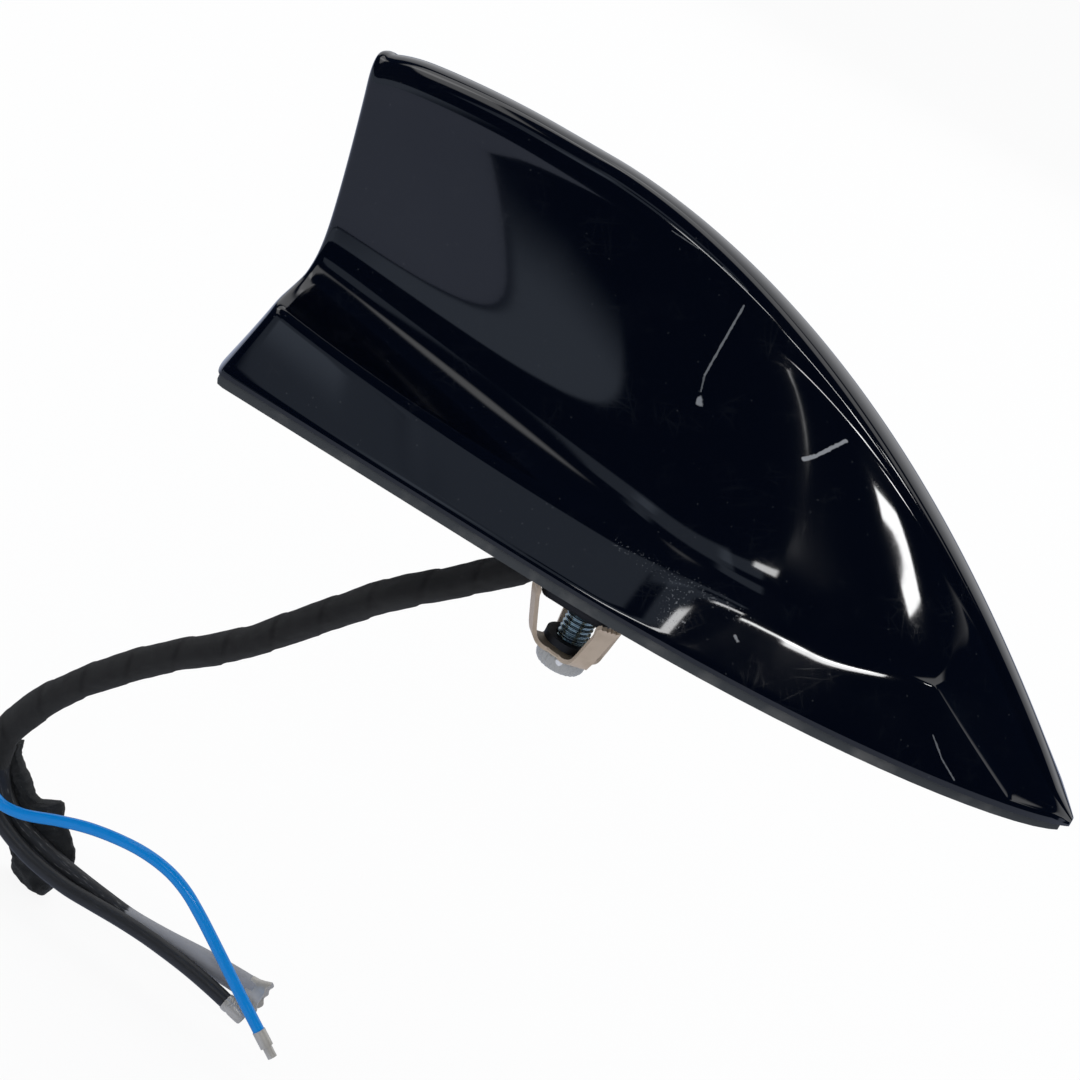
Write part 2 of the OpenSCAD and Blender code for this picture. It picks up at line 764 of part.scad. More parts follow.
module mast_foot() {
    color([0.12, 0.12, 0.13]) difference() {
        translate([foot_x - foot_length / 2, -foot_width / 2, board_top]) union() {
            cube([foot_length, foot_width, foot_height / 3]);
            translate([0, foot_width / 4, 0]) cube([foot_length, foot_width / 2, foot_height]);
        }
        translate([foot_x - tab_length / 2 - slot_gap, -board_thickness / 2 - slot_gap,
            board_top + foot_floor])
            cube([tab_length + 2 * slot_gap, board_thickness + 2 * slot_gap, foot_height]);
    }
}

// Height of the mast board's upper edge at x
function mast_edge(x) = ridge_top(x, wall) - foam_thickness - foam_gap;

module mast_board() {
    shoulder = board_top + foot_height + mast_lift;
    color([0.07, 0.33, 0.18]) rotate([90, 0, 0])
        translate([0, 0, -board_thickness / 2]) linear_extrude(board_thickness)
            polygon(concat(
                [
                    [foot_x - tab_length / 2, board_top + foot_floor],
                    [foot_x + tab_length / 2, board_top + foot_floor],
                    [foot_x + tab_length / 2, shoulder],
                    [mast_front - mast_nose, shoulder + mast_chin]
                ],
                [for (x = [mast_front : -mast_step : mast_rear]) [x, mast_edge(x)]],
                [[mast_rear + mast_heel_in, shoulder + mast_heel], [foot_x - tab_length / 2, shoulder]]
            ));
}

module mast_trace() {
    pitch = (mast_front - mast_rear - trace_ends) / trace_turns;
    low = board_top + foot_height + trace_lift;
    top = mast_edge(mast_rear) - trace_top;
    color([0.8, 0.5, 0.25]) translate([0, -board_thickness / 2 - trace_sheet, 0]) {
        for (k = [0 : trace_turns - 1]) {
            x = mast_rear + trace_start + k * pitch;
            height = min(top, mast_edge(x + pitch) - trace_gap) - low;
            translate([x, 0, low]) cube([trace_width, trace_sheet, height]);
            translate([x + pitch / 2, 0, low]) cube([trace_width, trace_sheet, height]);
            translate([x, 0, low + height - trace_width])
                cube([pitch / 2 + trace_width, trace_sheet, trace_width]);
            if (k < trace_turns - 1)
                translate([x + pitch / 2, 0, low])
                    cube([pitch / 2 + trace_width, trace_sheet, trace_width]);
        }
        translate([foot_x, 0, board_top + foot_height])
            cube([trace_width, trace_sheet, low - board_top - foot_height + trace_width]);
    }
}

module mast_foam() {
    color([0.2, 0.2, 0.21]) rotate([90, 0, 0])
        translate([0, 0, -board_thickness / 2]) linear_extrude(board_thickness)
            polygon(concat(
                [for (x = [mast_front : -mast_step : mast_rear]) [x, mast_edge(x)]],
                [for (x = [mast_rear : mast_step : mast_front]) [x, mast_edge(x) + foam_thickness]]
            ));
}

module loading_coil() {
    pitch = wire + 0.05;
    color([0.75, 0.42, 0.2]) translate([coil_x, coil_y, board_top]) rotate_extrude() {
        square([coil_diameter / 2 - wire, coil_turns * pitch + 2]);
        for (k = [0 : coil_turns - 1])
            translate([coil_diameter / 2 - wire, 1.2 + (k + 0.5) * pitch]) circle(wire, $fn = 16);
    }
}

module amplifier_chips() {
    color([0.08, 0.08, 0.09]) for (c = chip_places)
        translate([c[0] - c[2] / 2, c[1] - c[3] / 2, board_top]) cube([c[2], c[3], c[4]]);
}

module board_leads() {
    color([0.2, 0.2, 0.22]) for (k = [-1 : 1])
        translate([-spout_offset, k * inner_pitch, 0])
            tube([for (p = inner_path) [p[0], 0, p[1]]], inner_lead, 8);
}

module lead_clips() {
    color([0.8, 0.78, 0.7]) for (k = [-1 : 1])
        difference() {
            translate([clip_x - clip_length / 2, k * inner_pitch - clip_width / 2, board_top])
                cube([clip_length, clip_width, inner_lead + 2 * clip_sheet]);
            translate([clip_x - clip_length, k * inner_pitch, clip_z]) rotate([0, 90, 0])
                cylinder(d = inner_lead + 2 * inner_gap, h = 2 * clip_length);
        }
}

module loom_sleeve() {
    color([0.07, 0.07, 0.075]) tube(loom_path, loom_widths, 12);
}

module tape_end() {
    color([0.08, 0.08, 0.085]) tube(tape_path, tape_widths, 8, 0.32);
}

module blue_lead() {
    color([0.05, 0.45, 0.85]) tube(blue_path, blue_diameter, 8);
}

module black_lead() {
    color([0.12, 0.12, 0.13]) tube(black_path, black_diameter, 8);
}

module grey_lead() {
    color([0.45, 0.46, 0.5]) tube(grey_path, grey_diameter, 8);
}

// A crimped barrel with a solid tip, on the end of a lead
module contact(path, diameter) {
    n = len(path);
    along(path[n - 1], path[n - 1] - path[n - 2]) {
        cylinder(d = diameter + 2 * crimp_wall, h = contact_length * 0.6);
        translate([0, 0, contact_length * 0.6]) cylinder(d = diameter * 0.8, h = contact_length * 0.4);
    }
}

module blue_contact() {
    color([0.75, 0.75, 0.76]) contact(blue_path, blue_diameter);
}

module black_contact() {
    color([0.75, 0.75, 0.76]) contact(black_path, black_diameter);
}

module grey_contact() {
    color([0.7, 0.69, 0.66]) contact(grey_path, grey_diameter);
}

fin_cover();
roof_gasket();
base_plate();
cover_screws();
neck_sleeve();
clamp_bolt();
roof_claw();
claw_ring();
cable_grommet();
main_board();
board_screws();
shield_can();
patch_pad();
satellite_patch();
patch_electrode();
patch_pin();
mast_foot();
mast_board();
mast_trace();
mast_foam();
loading_coil();
amplifier_chips();
board_leads();
lead_clips();
loom_sleeve();
tape_end();
blue_lead();
black_lead();
grey_lead();
blue_contact();
black_contact();
grey_contact();
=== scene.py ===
# %% [markdown]
# This lesson dresses a shark fin roof aerial: a glossy black fin on a rubber gasket, a bolt with a
# spring claw underneath, and a loom wrapped in cloth tape that splits into three leads.
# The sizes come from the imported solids, which are loaded first and never moved. All the looks are
# made here, with meshes built by bmesh and finishes built from shader nodes.

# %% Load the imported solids
import json
import math

import bmesh
import bpy
from mathutils import Matrix, Vector, geometry, noise


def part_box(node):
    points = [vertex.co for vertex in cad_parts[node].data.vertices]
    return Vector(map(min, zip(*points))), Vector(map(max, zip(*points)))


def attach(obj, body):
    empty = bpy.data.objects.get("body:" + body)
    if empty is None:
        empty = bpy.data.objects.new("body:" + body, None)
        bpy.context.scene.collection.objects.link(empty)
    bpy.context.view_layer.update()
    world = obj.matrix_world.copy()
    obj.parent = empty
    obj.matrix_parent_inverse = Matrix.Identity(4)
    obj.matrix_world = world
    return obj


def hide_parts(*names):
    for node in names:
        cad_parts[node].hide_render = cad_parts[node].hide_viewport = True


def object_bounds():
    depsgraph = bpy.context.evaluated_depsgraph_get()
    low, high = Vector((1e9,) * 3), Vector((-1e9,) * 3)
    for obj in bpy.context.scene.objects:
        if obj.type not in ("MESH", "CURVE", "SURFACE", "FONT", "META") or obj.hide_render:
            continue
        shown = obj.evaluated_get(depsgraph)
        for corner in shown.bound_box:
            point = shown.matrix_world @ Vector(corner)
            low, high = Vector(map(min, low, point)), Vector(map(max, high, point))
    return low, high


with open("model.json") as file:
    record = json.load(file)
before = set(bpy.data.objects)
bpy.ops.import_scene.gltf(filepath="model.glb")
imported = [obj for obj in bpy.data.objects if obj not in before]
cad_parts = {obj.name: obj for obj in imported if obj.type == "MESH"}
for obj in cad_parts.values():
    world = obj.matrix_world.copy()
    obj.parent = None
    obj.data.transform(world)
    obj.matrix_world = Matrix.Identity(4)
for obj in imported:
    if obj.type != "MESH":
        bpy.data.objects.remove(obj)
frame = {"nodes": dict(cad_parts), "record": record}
cad_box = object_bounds()
nodes = frame["nodes"]
MM = 0.001
print(len(nodes), "solids in a box of", [round(high - low, 4) for low, high in zip(*cad_box)])

# %% [markdown]
# The photograph looks at the camera side of the fin from a little behind the bolt and from above,
# and the part lies tilted in the picture. A camera could be turned by hand until it fits, but
# three angles, a distance and a focal length that were measured once say it exactly.
# The camera's own axes are worked out from the angles and written into its matrix.

# %% Camera
AZIMUTH, ELEVATION, ROLL = (math.radians(angle) for angle in (12.0, 20.0, 27.608))
TARGET = Vector((-0.0137, 0.0, -0.00503))
DISTANCE = 0.450
SENSOR_WIDTH = 36.0
FOCAL_WIDTHS = 2.2812

camera_back = Vector((
    math.sin(AZIMUTH) * math.cos(ELEVATION),
    -math.cos(AZIMUTH) * math.cos(ELEVATION),
    math.sin(ELEVATION),
))
level = Vector((math.cos(AZIMUTH), math.sin(AZIMUTH), 0.0))
upright = camera_back.cross(level)
camera_right = level * math.cos(ROLL) + upright * math.sin(ROLL)
camera_up = upright * math.cos(ROLL) - level * math.sin(ROLL)

camera_data = bpy.data.cameras.new("camera")
camera_data.sensor_width = SENSOR_WIDTH
camera_data.lens = FOCAL_WIDTHS * SENSOR_WIDTH
camera_data.clip_start = 0.01
camera = bpy.data.objects.new("camera", camera_data)
camera.matrix_world = Matrix.Translation(TARGET + camera_back * DISTANCE) @ Matrix((
    camera_right, camera_up, camera_back,
)).transposed().to_4x4()
bpy.context.scene.collection.objects.link(camera)
bpy.context.scene.camera = camera
print("camera at", [round(value, 3) for value in camera.matrix_world.translation])

# %% [markdown]
# A finish is easier to read when each node is one short line. These helpers add a node with its
# settings and inputs, do sums on numbers and vectors, start a material round a Principled shader,
# and start or place a node group. Every finish in the lesson is written with them, so the numbers
# that matter stand next to their names.

# %% Helpers for finishes


def feed(tree, socket, value):
    """Links another node's socket to a socket, or sets a plain value on it."""
    if isinstance(value, bpy.types.NodeSocket):
        tree.links.new(value, socket)
    else:
        socket.default_value = value


def add_node(tree, kind, settings=None, **inputs):
    """A new node; inputs are values or sockets, named with underscores for spaces."""
    node = tree.nodes.new(kind)
    for key, value in (settings or {}).items():
        setattr(node, key, value)
    for key, value in inputs.items():
        feed(tree, node.inputs[key.replace("_", " ")], value)
    return node


def math_node(tree, operation, *values, clamp=False):
    """The result of one Math node."""
    node = tree.nodes.new("ShaderNodeMath")
    node.operation = operation
    node.use_clamp = clamp
    for socket, value in zip(node.inputs, values):
        feed(tree, socket, value)
    return node.outputs[0]


def vector_math(tree, operation, *values):
    """The result of one Vector Math node, a number for DOT_PRODUCT and DISTANCE."""
    node = tree.nodes.new("ShaderNodeVectorMath")
    node.operation = operation
    for socket, value in zip(node.inputs, values):
        feed(tree, socket, value)
    return node.outputs["Value" if operation in ("DOT_PRODUCT", "DISTANCE") else "Vector"]


def mix_color(tree, share, first, second):
    """first blended towards second by share."""
    node = tree.nodes.new("ShaderNodeMix")
    node.data_type = "RGBA"
    for socket, value in zip((node.inputs[0], node.inputs[6], node.inputs[7]), (share, first, second)):
        feed(tree, socket, value)
    return node.outputs[2]


def step_up(tree, value, low, high, to_low=0.0, to_high=1.0):
    """value carried smoothly from the range low..high to the range to_low..to_high."""
    node = add_node(tree, "ShaderNodeMapRange", {"interpolation_type": "SMOOTHSTEP"}, Value=value)
    node.inputs["From Min"].default_value = low
    node.inputs["From Max"].default_value = high
    node.inputs["To Min"].default_value = to_low
    node.inputs["To Max"].default_value = to_high
    return node.outputs[0]


def start_material(name, **inputs):
    """A material with its Principled shader: (material, tree, shader)."""
    material = bpy.data.materials.new(name)
    material.use_nodes = True
    tree = material.node_tree
    shader = tree.nodes["Principled BSDF"]
    for key, value in inputs.items():
        shader.inputs[key.replace("_", " ")].default_value = value
    return material, tree, shader


def start_group(name, inputs, outputs):
    """An empty node group with named sockets: (group, its input node, its output node)."""
    group = bpy.data.node_groups.new(name, "ShaderNodeTree")
    for label, kind, value in inputs:
        socket = group.interface.new_socket(label, in_out="INPUT", socket_type="NodeSocket" + kind)
        if value is not None:
            socket.default_value = value
    for label, kind in outputs:
        group.interface.new_socket(label, in_out="OUTPUT", socket_type="NodeSocket" + kind)
    return group, group.nodes.new("NodeGroupInput"), group.nodes.new("NodeGroupOutput")


def use_group(tree, group, **inputs):
    """A group placed in a material, with its own values."""
    node = tree.nodes.new("ShaderNodeGroup")
    node.node_tree = group
    for key, value in inputs.items():
        feed(tree, node.inputs[key.replace("_", " ")], value)
    return node


def object_point(tree):
    """The surface point in metres, from the piece's own origin."""
    return tree.nodes.new("ShaderNodeTexCoord").outputs["Object"]


def bump(tree, shader, height, distance, strength=1.0):
    """A bump of a real height in metres on a shader."""
    node = add_node(tree, "ShaderNodeBump", Height=height, Strength=strength, Distance=distance)
    tree.links.new(node.outputs[0], shader.inputs["Normal"])


print("helpers ready")

# %% [markdown]
# Grain, dust, hairlines and scratches turn up on nearly every surface: on paint, rubber, plastic
# and metal. Painting each by hand would repeat the same nodes, so each is a group with its own
# sockets, and puts out only a mask or a height.
# Grain is two sizes of noise that make a height. Dust is a patchy mask with fine specks in it.
# Hairlines are the thin edges between stretched cells, broken up so that each is short. A scratch
# has a start, an end and a width: it masks what lies near the straight line between the two.

# %% Grain group
grain, grain_in, grain_out = start_group(
    "grain",
    [("Vector", "Vector", None), ("Scale", "Float", 4000.0), ("Coarse", "Float", 0.3)],
    [("Height", "Float")],
)
grain_point, grain_scale, grain_coarse = list(grain_in.outputs)[:3]
fine = add_node(grain, "ShaderNodeTexNoise", Vector=grain_point, Scale=grain_scale, Detail=3.0)
broad_scale = math_node(grain, "MULTIPLY", grain_scale, 0.14)
broad = add_node(grain, "ShaderNodeTexNoise", Vector=grain_point, Scale=broad_scale, Detail=2.0)
broad_part = math_node(grain, "MULTIPLY", broad.outputs[0], grain_coarse)
grain_sum = math_node(grain, "ADD", fine.outputs[0], broad_part)
grain.links.new(grain_sum, grain_out.inputs[0])

# %% Dust group
dust, dust_in, dust_out = start_group(
    "dust",
    [("Vector", "Vector", None), ("Patch scale", "Float", 90.0), ("Cover", "Float", 0.5)],
    [("Mask", "Float"), ("Specks", "Float")],
)
dust_point, dust_scale, dust_cover = list(dust_in.outputs)[:3]
patches = add_node(dust, "ShaderNodeTexNoise", Vector=dust_point, Scale=dust_scale, Detail=5.0)
threshold = math_node(dust, "SUBTRACT", 1.0, dust_cover)
patch_share = math_node(dust, "SUBTRACT", patches.outputs[0], threshold)
patch_mask = math_node(dust, "MULTIPLY", patch_share, 3.0, clamp=True)
speck_cells = add_node(dust, "ShaderNodeTexVoronoi", Vector=dust_point, Scale=700.0)
speck_dots = step_up(dust, speck_cells.outputs["Distance"], 0.05, 0.16, 1.0, 0.0)
speck_pick = add_node(dust, "ShaderNodeSeparateColor", Color=speck_cells.outputs["Color"])
speck_rare = step_up(dust, speck_pick.outputs[0], 0.80, 0.86)
specks = math_node(dust, "MULTIPLY", speck_dots, speck_rare)
dust.links.new(patch_mask, dust_out.inputs[0])
dust.links.new(specks, dust_out.inputs[1])

# %% Hairline group
hairlines, hair_in, hair_out = start_group(
    "hairlines",
    [
        ("Vector", "Vector", None), ("Turn", "Float", 0.0), ("Scale", "Float", 260.0),
        ("Width", "Float", 0.02), ("Sparseness", "Float", 0.55),
    ],
    [("Mask", "Float")],
)
hair_start, hair_angle, hair_scale, hair_width, hair_sparse = list(hair_in.outputs)[:5]
hair_bend = add_node(hairlines, "ShaderNodeTexNoise", Vector=hair_start, Scale=18.0, Detail=1.0)
hair_shift = vector_math(hairlines, "MULTIPLY", hair_bend.outputs["Color"], (0.02, 0.02, 0.02))
hair_point = vector_math(hairlines, "ADD", hair_start, hair_shift)
hair_turn = add_node(
    hairlines, "ShaderNodeVectorRotate", {"rotation_type": "Y_AXIS"}, Vector=hair_point, Angle=hair_angle,
)
hair_stretch = vector_math(hairlines, "MULTIPLY", hair_turn.outputs[0], (0.12, 1.0, 1.0))
hair_cells = add_node(
    hairlines, "ShaderNodeTexVoronoi", {"feature": "DISTANCE_TO_EDGE"},
    Vector=hair_stretch, Scale=hair_scale,
)
hair_edge = math_node(hairlines, "DIVIDE", hair_cells.outputs[0], hair_width)
hair_line = math_node(hairlines, "SUBTRACT", 1.0, hair_edge, clamp=True)
hair_gaps = add_node(hairlines, "ShaderNodeTexNoise", Vector=hair_point, Scale=140.0, Detail=2.0)
hair_left = math_node(hairlines, "SUBTRACT", hair_gaps.outputs[0], hair_sparse)
hair_keep = math_node(hairlines, "MULTIPLY", hair_left, 8.0, clamp=True)
hair_mask = math_node(hairlines, "MULTIPLY", hair_line, hair_keep)
hairlines.links.new(hair_mask, hair_out.inputs[0])

# %% Scratch group
scratch, scratch_in, scratch_out = start_group(
    "scratch",
    [
        ("Vector", "Vector", None), ("Start", "Vector", None), ("End", "Vector", None),
        ("Width", "Float", 0.0003),
    ],
    [("Mask", "Float")],
)
mark_point, mark_start, mark_end, mark_width = list(scratch_in.outputs)[:4]
mark_run = vector_math(scratch, "SUBTRACT", mark_end, mark_start)
mark_from = vector_math(scratch, "SUBTRACT", mark_point, mark_start)
along_run = vector_math(scratch, "DOT_PRODUCT", mark_from, mark_run)
whole_run = vector_math(scratch, "DOT_PRODUCT", mark_run, mark_run)
mark_share = math_node(scratch, "DIVIDE", along_run, whole_run, clamp=True)
on_run = add_node(
    scratch, "ShaderNodeVectorMath", {"operation": "SCALE"}, Vector=mark_run, Scale=mark_share,
)
nearest = vector_math(scratch, "ADD", mark_start, on_run.outputs[0])
off_run = vector_math(scratch, "DISTANCE", mark_point, nearest)
ragged = add_node(scratch, "ShaderNodeTexNoise", Vector=mark_point, Scale=1400.0, Detail=2.0)
ragged_share = math_node(scratch, "MULTIPLY_ADD", ragged.outputs[0], 1.6, 0.2)
ragged_off = math_node(scratch, "MULTIPLY", off_run, ragged_share)
off_share = math_node(scratch, "DIVIDE", ragged_off, mark_width)
mark_left = math_node(scratch, "SUBTRACT", 1.0, off_share, clamp=True)
scratch.links.new(math_node(scratch, "MULTIPLY", mark_left, 2.5, clamp=True), scratch_out.inputs[0])
print("groups:", sorted(group.name for group in bpy.data.node_groups))

# %% [markdown]
# Loom and leads are laid along routes. The solids were swept along the same points, so the routes
# are repeated here in metres. A straight line from point to point would kink, so each stretch is a
# Bezier whose handles follow its neighbours.

# %% Routes of the loom and leads
LOOM_POINTS = [
    (-0.0116, 0, -0.004), (-0.0116, 0, -0.007), (-0.0132, 0, -0.010), (-0.016, 0, -0.013),
    (-0.020, 0, -0.017), (-0.025, 0, -0.0218), (-0.031, 0, -0.027), (-0.0365, 0, -0.0325),
    (-0.042, 0, -0.039), (-0.048, 0, -0.046), (-0.054, 0, -0.053), (-0.060, 0, -0.059),
    (-0.067, 0, -0.065), (-0.0735, 0, -0.0715), (-0.080, 0, -0.0785), (-0.086, 0, -0.0865),
    (-0.090, 0, -0.0935), (-0.0926, 0, -0.100), (-0.0932, 0, -0.104), (-0.0932, 0, -0.108),
]
TAPE_POINTS = [
    (-0.0934, 0.0044, -0.104), (-0.0924, 0.0054, -0.109), (-0.0882, 0.0074, -0.1155),
    (-0.0826, 0.0082, -0.121), (-0.0786, 0.008, -0.126), (-0.0762, 0.0076, -0.130),
]
BLUE_POINTS = [
    (-0.092, -0.0019, -0.108), (-0.092, -0.0019, -0.109), (-0.0914, -0.0022, -0.1106),
    (-0.0896, -0.0027, -0.1126), (-0.0866, -0.003, -0.1136), (-0.083, -0.003, -0.1132),
    (-0.0795, -0.003, -0.112), (-0.074, -0.003, -0.1094), (-0.0677, -0.003, -0.1069),
    (-0.061, -0.003, -0.1052), (-0.0546, -0.003, -0.1044), (-0.0486, -0.003, -0.1048),
    (-0.0436, -0.003, -0.1064), (-0.039, -0.003, -0.109), (-0.0346, -0.003, -0.1119),
    (-0.0305, -0.003, -0.1147), (-0.026, -0.003, -0.1178), (-0.0217, -0.003, -0.1207),
    (-0.0175, -0.003, -0.1235),
]
BLACK_POINTS = [
    (-0.0948, -0.0002, -0.108), (-0.0948, -0.0002, -0.109), (-0.0942, 0, -0.1118), (-0.0918, 0, -0.1154),
    (-0.087, 0, -0.1188), (-0.0805, 0, -0.1214), (-0.0745, 0, -0.1227), (-0.0675, 0, -0.1232),
    (-0.061, 0, -0.1228), (-0.0545, 0, -0.1223), (-0.048, 0, -0.1221), (-0.042, 0, -0.1223),
    (-0.0365, 0, -0.1227), (-0.031, 0, -0.1234), (-0.0265, 0, -0.1242),
]
GREY_POINTS = [
    (-0.0919, 0.0019, -0.108), (-0.0919, 0.0019, -0.109), (-0.0914, 0.0026, -0.1112),
    (-0.0896, 0.0032, -0.1146), (-0.0864, 0.0035, -0.1176), (-0.082, 0.0035, -0.1197),
    (-0.0745, 0.0035, -0.1213), (-0.067, 0.0035, -0.1221), (-0.060, 0.0035, -0.1226),
    (-0.053, 0.0035, -0.1228), (-0.045, 0.0035, -0.1221), (-0.037, 0.0035, -0.121),
    (-0.030, 0.0035, -0.1203), (-0.0235, 0.0035, -0.1199),
]


def smooth_route(points, per_stretch):
    """Evenly spaced points along a smooth line through the given ones, and the line's length."""
    points = [Vector(point) for point in points]
    line = [points[0]]
    for before, start, end, after in zip(
        points[:1] + points[:-2], points[:-1], points[1:], points[2:] + points[-1:]
    ):
        stretch = geometry.interpolate_bezier(
            start, start + (end - before) / 6, end - (after - start) / 6, end, per_stretch + 1
        )
        line += stretch[1:]
    steps = [(b - a).length for a, b in zip(line, line[1:])]
    even, walked, index = [line[0]], 0.0, 0
    for count in range(1, len(steps)):
        wanted = sum(steps) * count / len(steps)
        while walked + steps[index] < wanted:
            walked += steps[index]
            index += 1
        even.append(line[index].lerp(line[index + 1], (wanted - walked) / steps[index]))
    return even + [line[-1]], sum(steps)


print("loom route is", round(smooth_route(LOOM_POINTS, 4)[1], 4), "m long")

# %% [markdown]
# A lead is a tube and a taped loom is a lumpy one. A curve with a bevel would give a perfect round
# section everywhere, so both start as a flat grid instead: one way runs along the route and the
# other way goes round it. The grid keeps its UV map, which the cloth and jackets are drawn on.

# %% Sweep a grid along a route


def link_piece(name, bm, sharp_angle=None):
    """A bmesh made into an object of the scene, smooth apart from edges sharper than an angle."""
    for face in bm.faces:
        face.smooth = True
    if sharp_angle is not None:
        for edge in bm.edges:
            edge.smooth = len(edge.link_faces) < 2 or edge.calc_face_angle(0.0) < sharp_angle
    mesh = bpy.data.meshes.new(name)
    bm.to_mesh(mesh)
    bm.free()
    piece = bpy.data.objects.new(name, mesh)
    bpy.context.scene.collection.objects.link(piece)
    return piece


def sweep(name, line, sides, section):
    """A closed tube along a line. section(share along, angle) gives its (side, height) offset."""
    rings = []
    normal = Vector((0, 1, 0))
    for index, point in enumerate(line):
        along = (line[min(index + 1, len(line) - 1)] - line[max(index - 1, 0)]).normalized()
        normal = (normal - along * normal.dot(along)).normalized()
        rings.append((point, normal, along.cross(normal)))
    bm = bmesh.new()
    bm.loops.layers.uv.new("along")
    bmesh.ops.create_grid(bm, x_segments=len(line) - 1, y_segments=sides, size=1.0, calc_uvs=True)
    for vert in bm.verts:
        share = (vert.co.x + 1) / 2
        angle = (vert.co.y + 1) * math.pi
        point, side, height = rings[round(share * (len(line) - 1))]
        across, over = section(share, angle)
        vert.co = point + side * across + height * over
    bmesh.ops.remove_doubles(bm, verts=bm.verts, dist=1e-7)
    bmesh.ops.holes_fill(bm, edges=[edge for edge in bm.edges if edge.is_boundary], sides=0)
    bmesh.ops.recalc_face_normals(bm, faces=bm.faces)
    return link_piece(name, bm, sharp_angle=math.radians(60))


print("sweep ready")

# %% [markdown]
# The loom is wound with cloth tape: each turn laps over the last one, so the edge of every turn
# stands a little proud, and the bundle inside makes it lumpy. The turns could be separate strips,
# but the step at each lap is only a fifth of a millimetre, so it is part of the tube's own section.

# %% Taped loom
LOOM_RADIUS = 3.1 * MM
LOOM_FLARE = 0.6 * MM
TAPE_PITCH = 11.0 * MM
TAPE_STEP = 0.22 * MM

loom_line, loom_length = smooth_route(LOOM_POINTS, 14)


def loom_section(share, angle):
    distance = share * loom_length
    turn = (distance / TAPE_PITCH + angle / math.tau) % 1.0
    lap = TAPE_STEP * (1.0 - turn) if turn > 0.06 else TAPE_STEP * turn / 0.06
    around = (math.cos(angle), math.sin(angle), distance)
    lumps = 0.30 * MM * noise.noise((around[0] * 0.9, around[1] * 0.9, distance * 70))
    creases = 0.10 * MM * noise.noise((around[0] * 2.5, around[1] * 2.5, distance * 420))
    flare = LOOM_FLARE * max(0.0, share - 0.95) / 0.05
    radius = LOOM_RADIUS - TAPE_STEP / 2 + lap + lumps + creases + flare
    return radius * math.cos(angle), radius * math.sin(angle)


loom = sweep("loom_tape", loom_line, 56, loom_section)
print("loom", len(loom.data.polygons), "faces,", round(loom_length, 4), "m")

# %% [markdown]
# At the end of the loom the tape has come loose and hangs as a crumpled flap. A cloth simulation
# would give a different heap each time its settings change, so the flap is a flat tube whose two
# edges were measured, with sharp little ridges running across it like creased cloth.

# %% Loose end of the tape
FLAP_TIP = (-0.0744, 0.0074, -0.1330)
FLAP_THICKNESS = 1.7 * MM
# distance along and width to the side, both in millimetres
RIGHT_EDGE = [
    (0, 2.9), (4, 2.8), (9, 3.9), (14.6, 3.7), (16.2, 4.8), (17.0, 8.0), (17.4, 10.0), (18.2, 10.4),
    (20.4, 8.8), (22.7, 9.1), (26.2, 9.9), (28.5, 9.2), (30.7, 7.2), (34, 3.4), (36, 0.6),
]
LEFT_EDGE = [
    (0, 2.9), (10, 4.4), (17, 5.6), (23, 7.8), (26.2, 6.9), (31, 7.2), (32.4, 6.4), (34, 3.6), (36, 0.6),
]
flap_line, flap_length = smooth_route(TAPE_POINTS + [FLAP_TIP], 26)


def read_edge(edge, distance):
    """The width of an edge at a distance, both in metres."""
    for (near, first), (far, second) in zip(edge, edge[1:]):
        if distance <= far * MM:
            return (first + (second - first) * (distance / MM - near) / (far - near)) * MM
    return edge[-1][1] * MM


def flap_section(share, angle):
    distance = share * flap_length
    half = read_edge(RIGHT_EDGE if math.cos(angle) > 0 else LEFT_EDGE, distance)
    frayed = 1.0 + 0.06 * noise.noise((math.cos(angle) * 1.6, math.sin(angle) * 1.6, distance * 800))
    ridge = 1.0 - abs(noise.noise((math.cos(angle) * 1.3, math.sin(angle) * 1.3, distance * 700)))
    fold = 1.0 - abs(noise.noise((math.cos(angle) * 2.1 + 4, math.sin(angle) * 2.1, distance * 230)))
    over = half * frayed * math.cos(angle)
    body = min(FLAP_THICKNESS, 0.5 * half) * math.sin(angle)
    puff = min(1.0, abs(math.sin(angle)) * 2) * min(1.0, half / (3 * MM))
    across = body + (0.5 * ridge + 1.2 * fold - 1.0) * MM * math.copysign(puff, math.sin(angle))
    return across, over


flap = sweep("loom_tape_flap", flap_line, 96, flap_section)
print("flap", len(flap.data.polygons), "faces")

# %% [markdown]
# Each lead is a plain round jacket that ends in a crimped contact. The jackets are swept with a
# slight waviness, because an extruded jacket that has been handled is never quite straight.
# The grey one is a sleeve that flares downwards towards its end.

# %% Three leads
FLARE_START = 0.52
# route, radius, where in the noise its waviness starts, and how far it flares at its end
LEADS = {
    "blue_jacket": (BLUE_POINTS, 1.2 * MM, 0.0, 0.0),
    "black_jacket": (BLACK_POINTS, 1.6 * MM, 3.0, 0.0),
    "grey_jacket": (GREY_POINTS, 1.8 * MM, 7.0, 1.25),
}
lead_lines = {}
leads = {}
for name, (points, radius, seed, flare) in LEADS.items():
    line, length = smooth_route(points, 8)

    def lead_section(share, angle, radius=radius, seed=seed, length=length, flare=flare):
        soft = radius * (1 + 0.02 * noise.noise((share * length * 120 + seed, 0, 0)))
        opened = max(0.0, share - FLARE_START) / (1 - FLARE_START)
        sag = 1 + flare * opened if math.sin(angle) < 0 else 1
        return soft * math.cos(angle), soft * sag * math.sin(angle)

    leads[name] = sweep(name, line, 28, lead_section)
    lead_lines[name] = (line, length, radius)
    print(name, round(length, 4), "m")

# %% [markdown]
# The fin is one moulded shell. Its section changes all the way along: a leaning skirt, a belt line
# where the skirt turns into the flank, a flank that is scooped near the tail and full near the
# nose, and a blunt ridge. Box modelling with subdivision would follow such a form only roughly, so
# a fine grid is laid over it instead, with the same formulas that shape the solid cover.

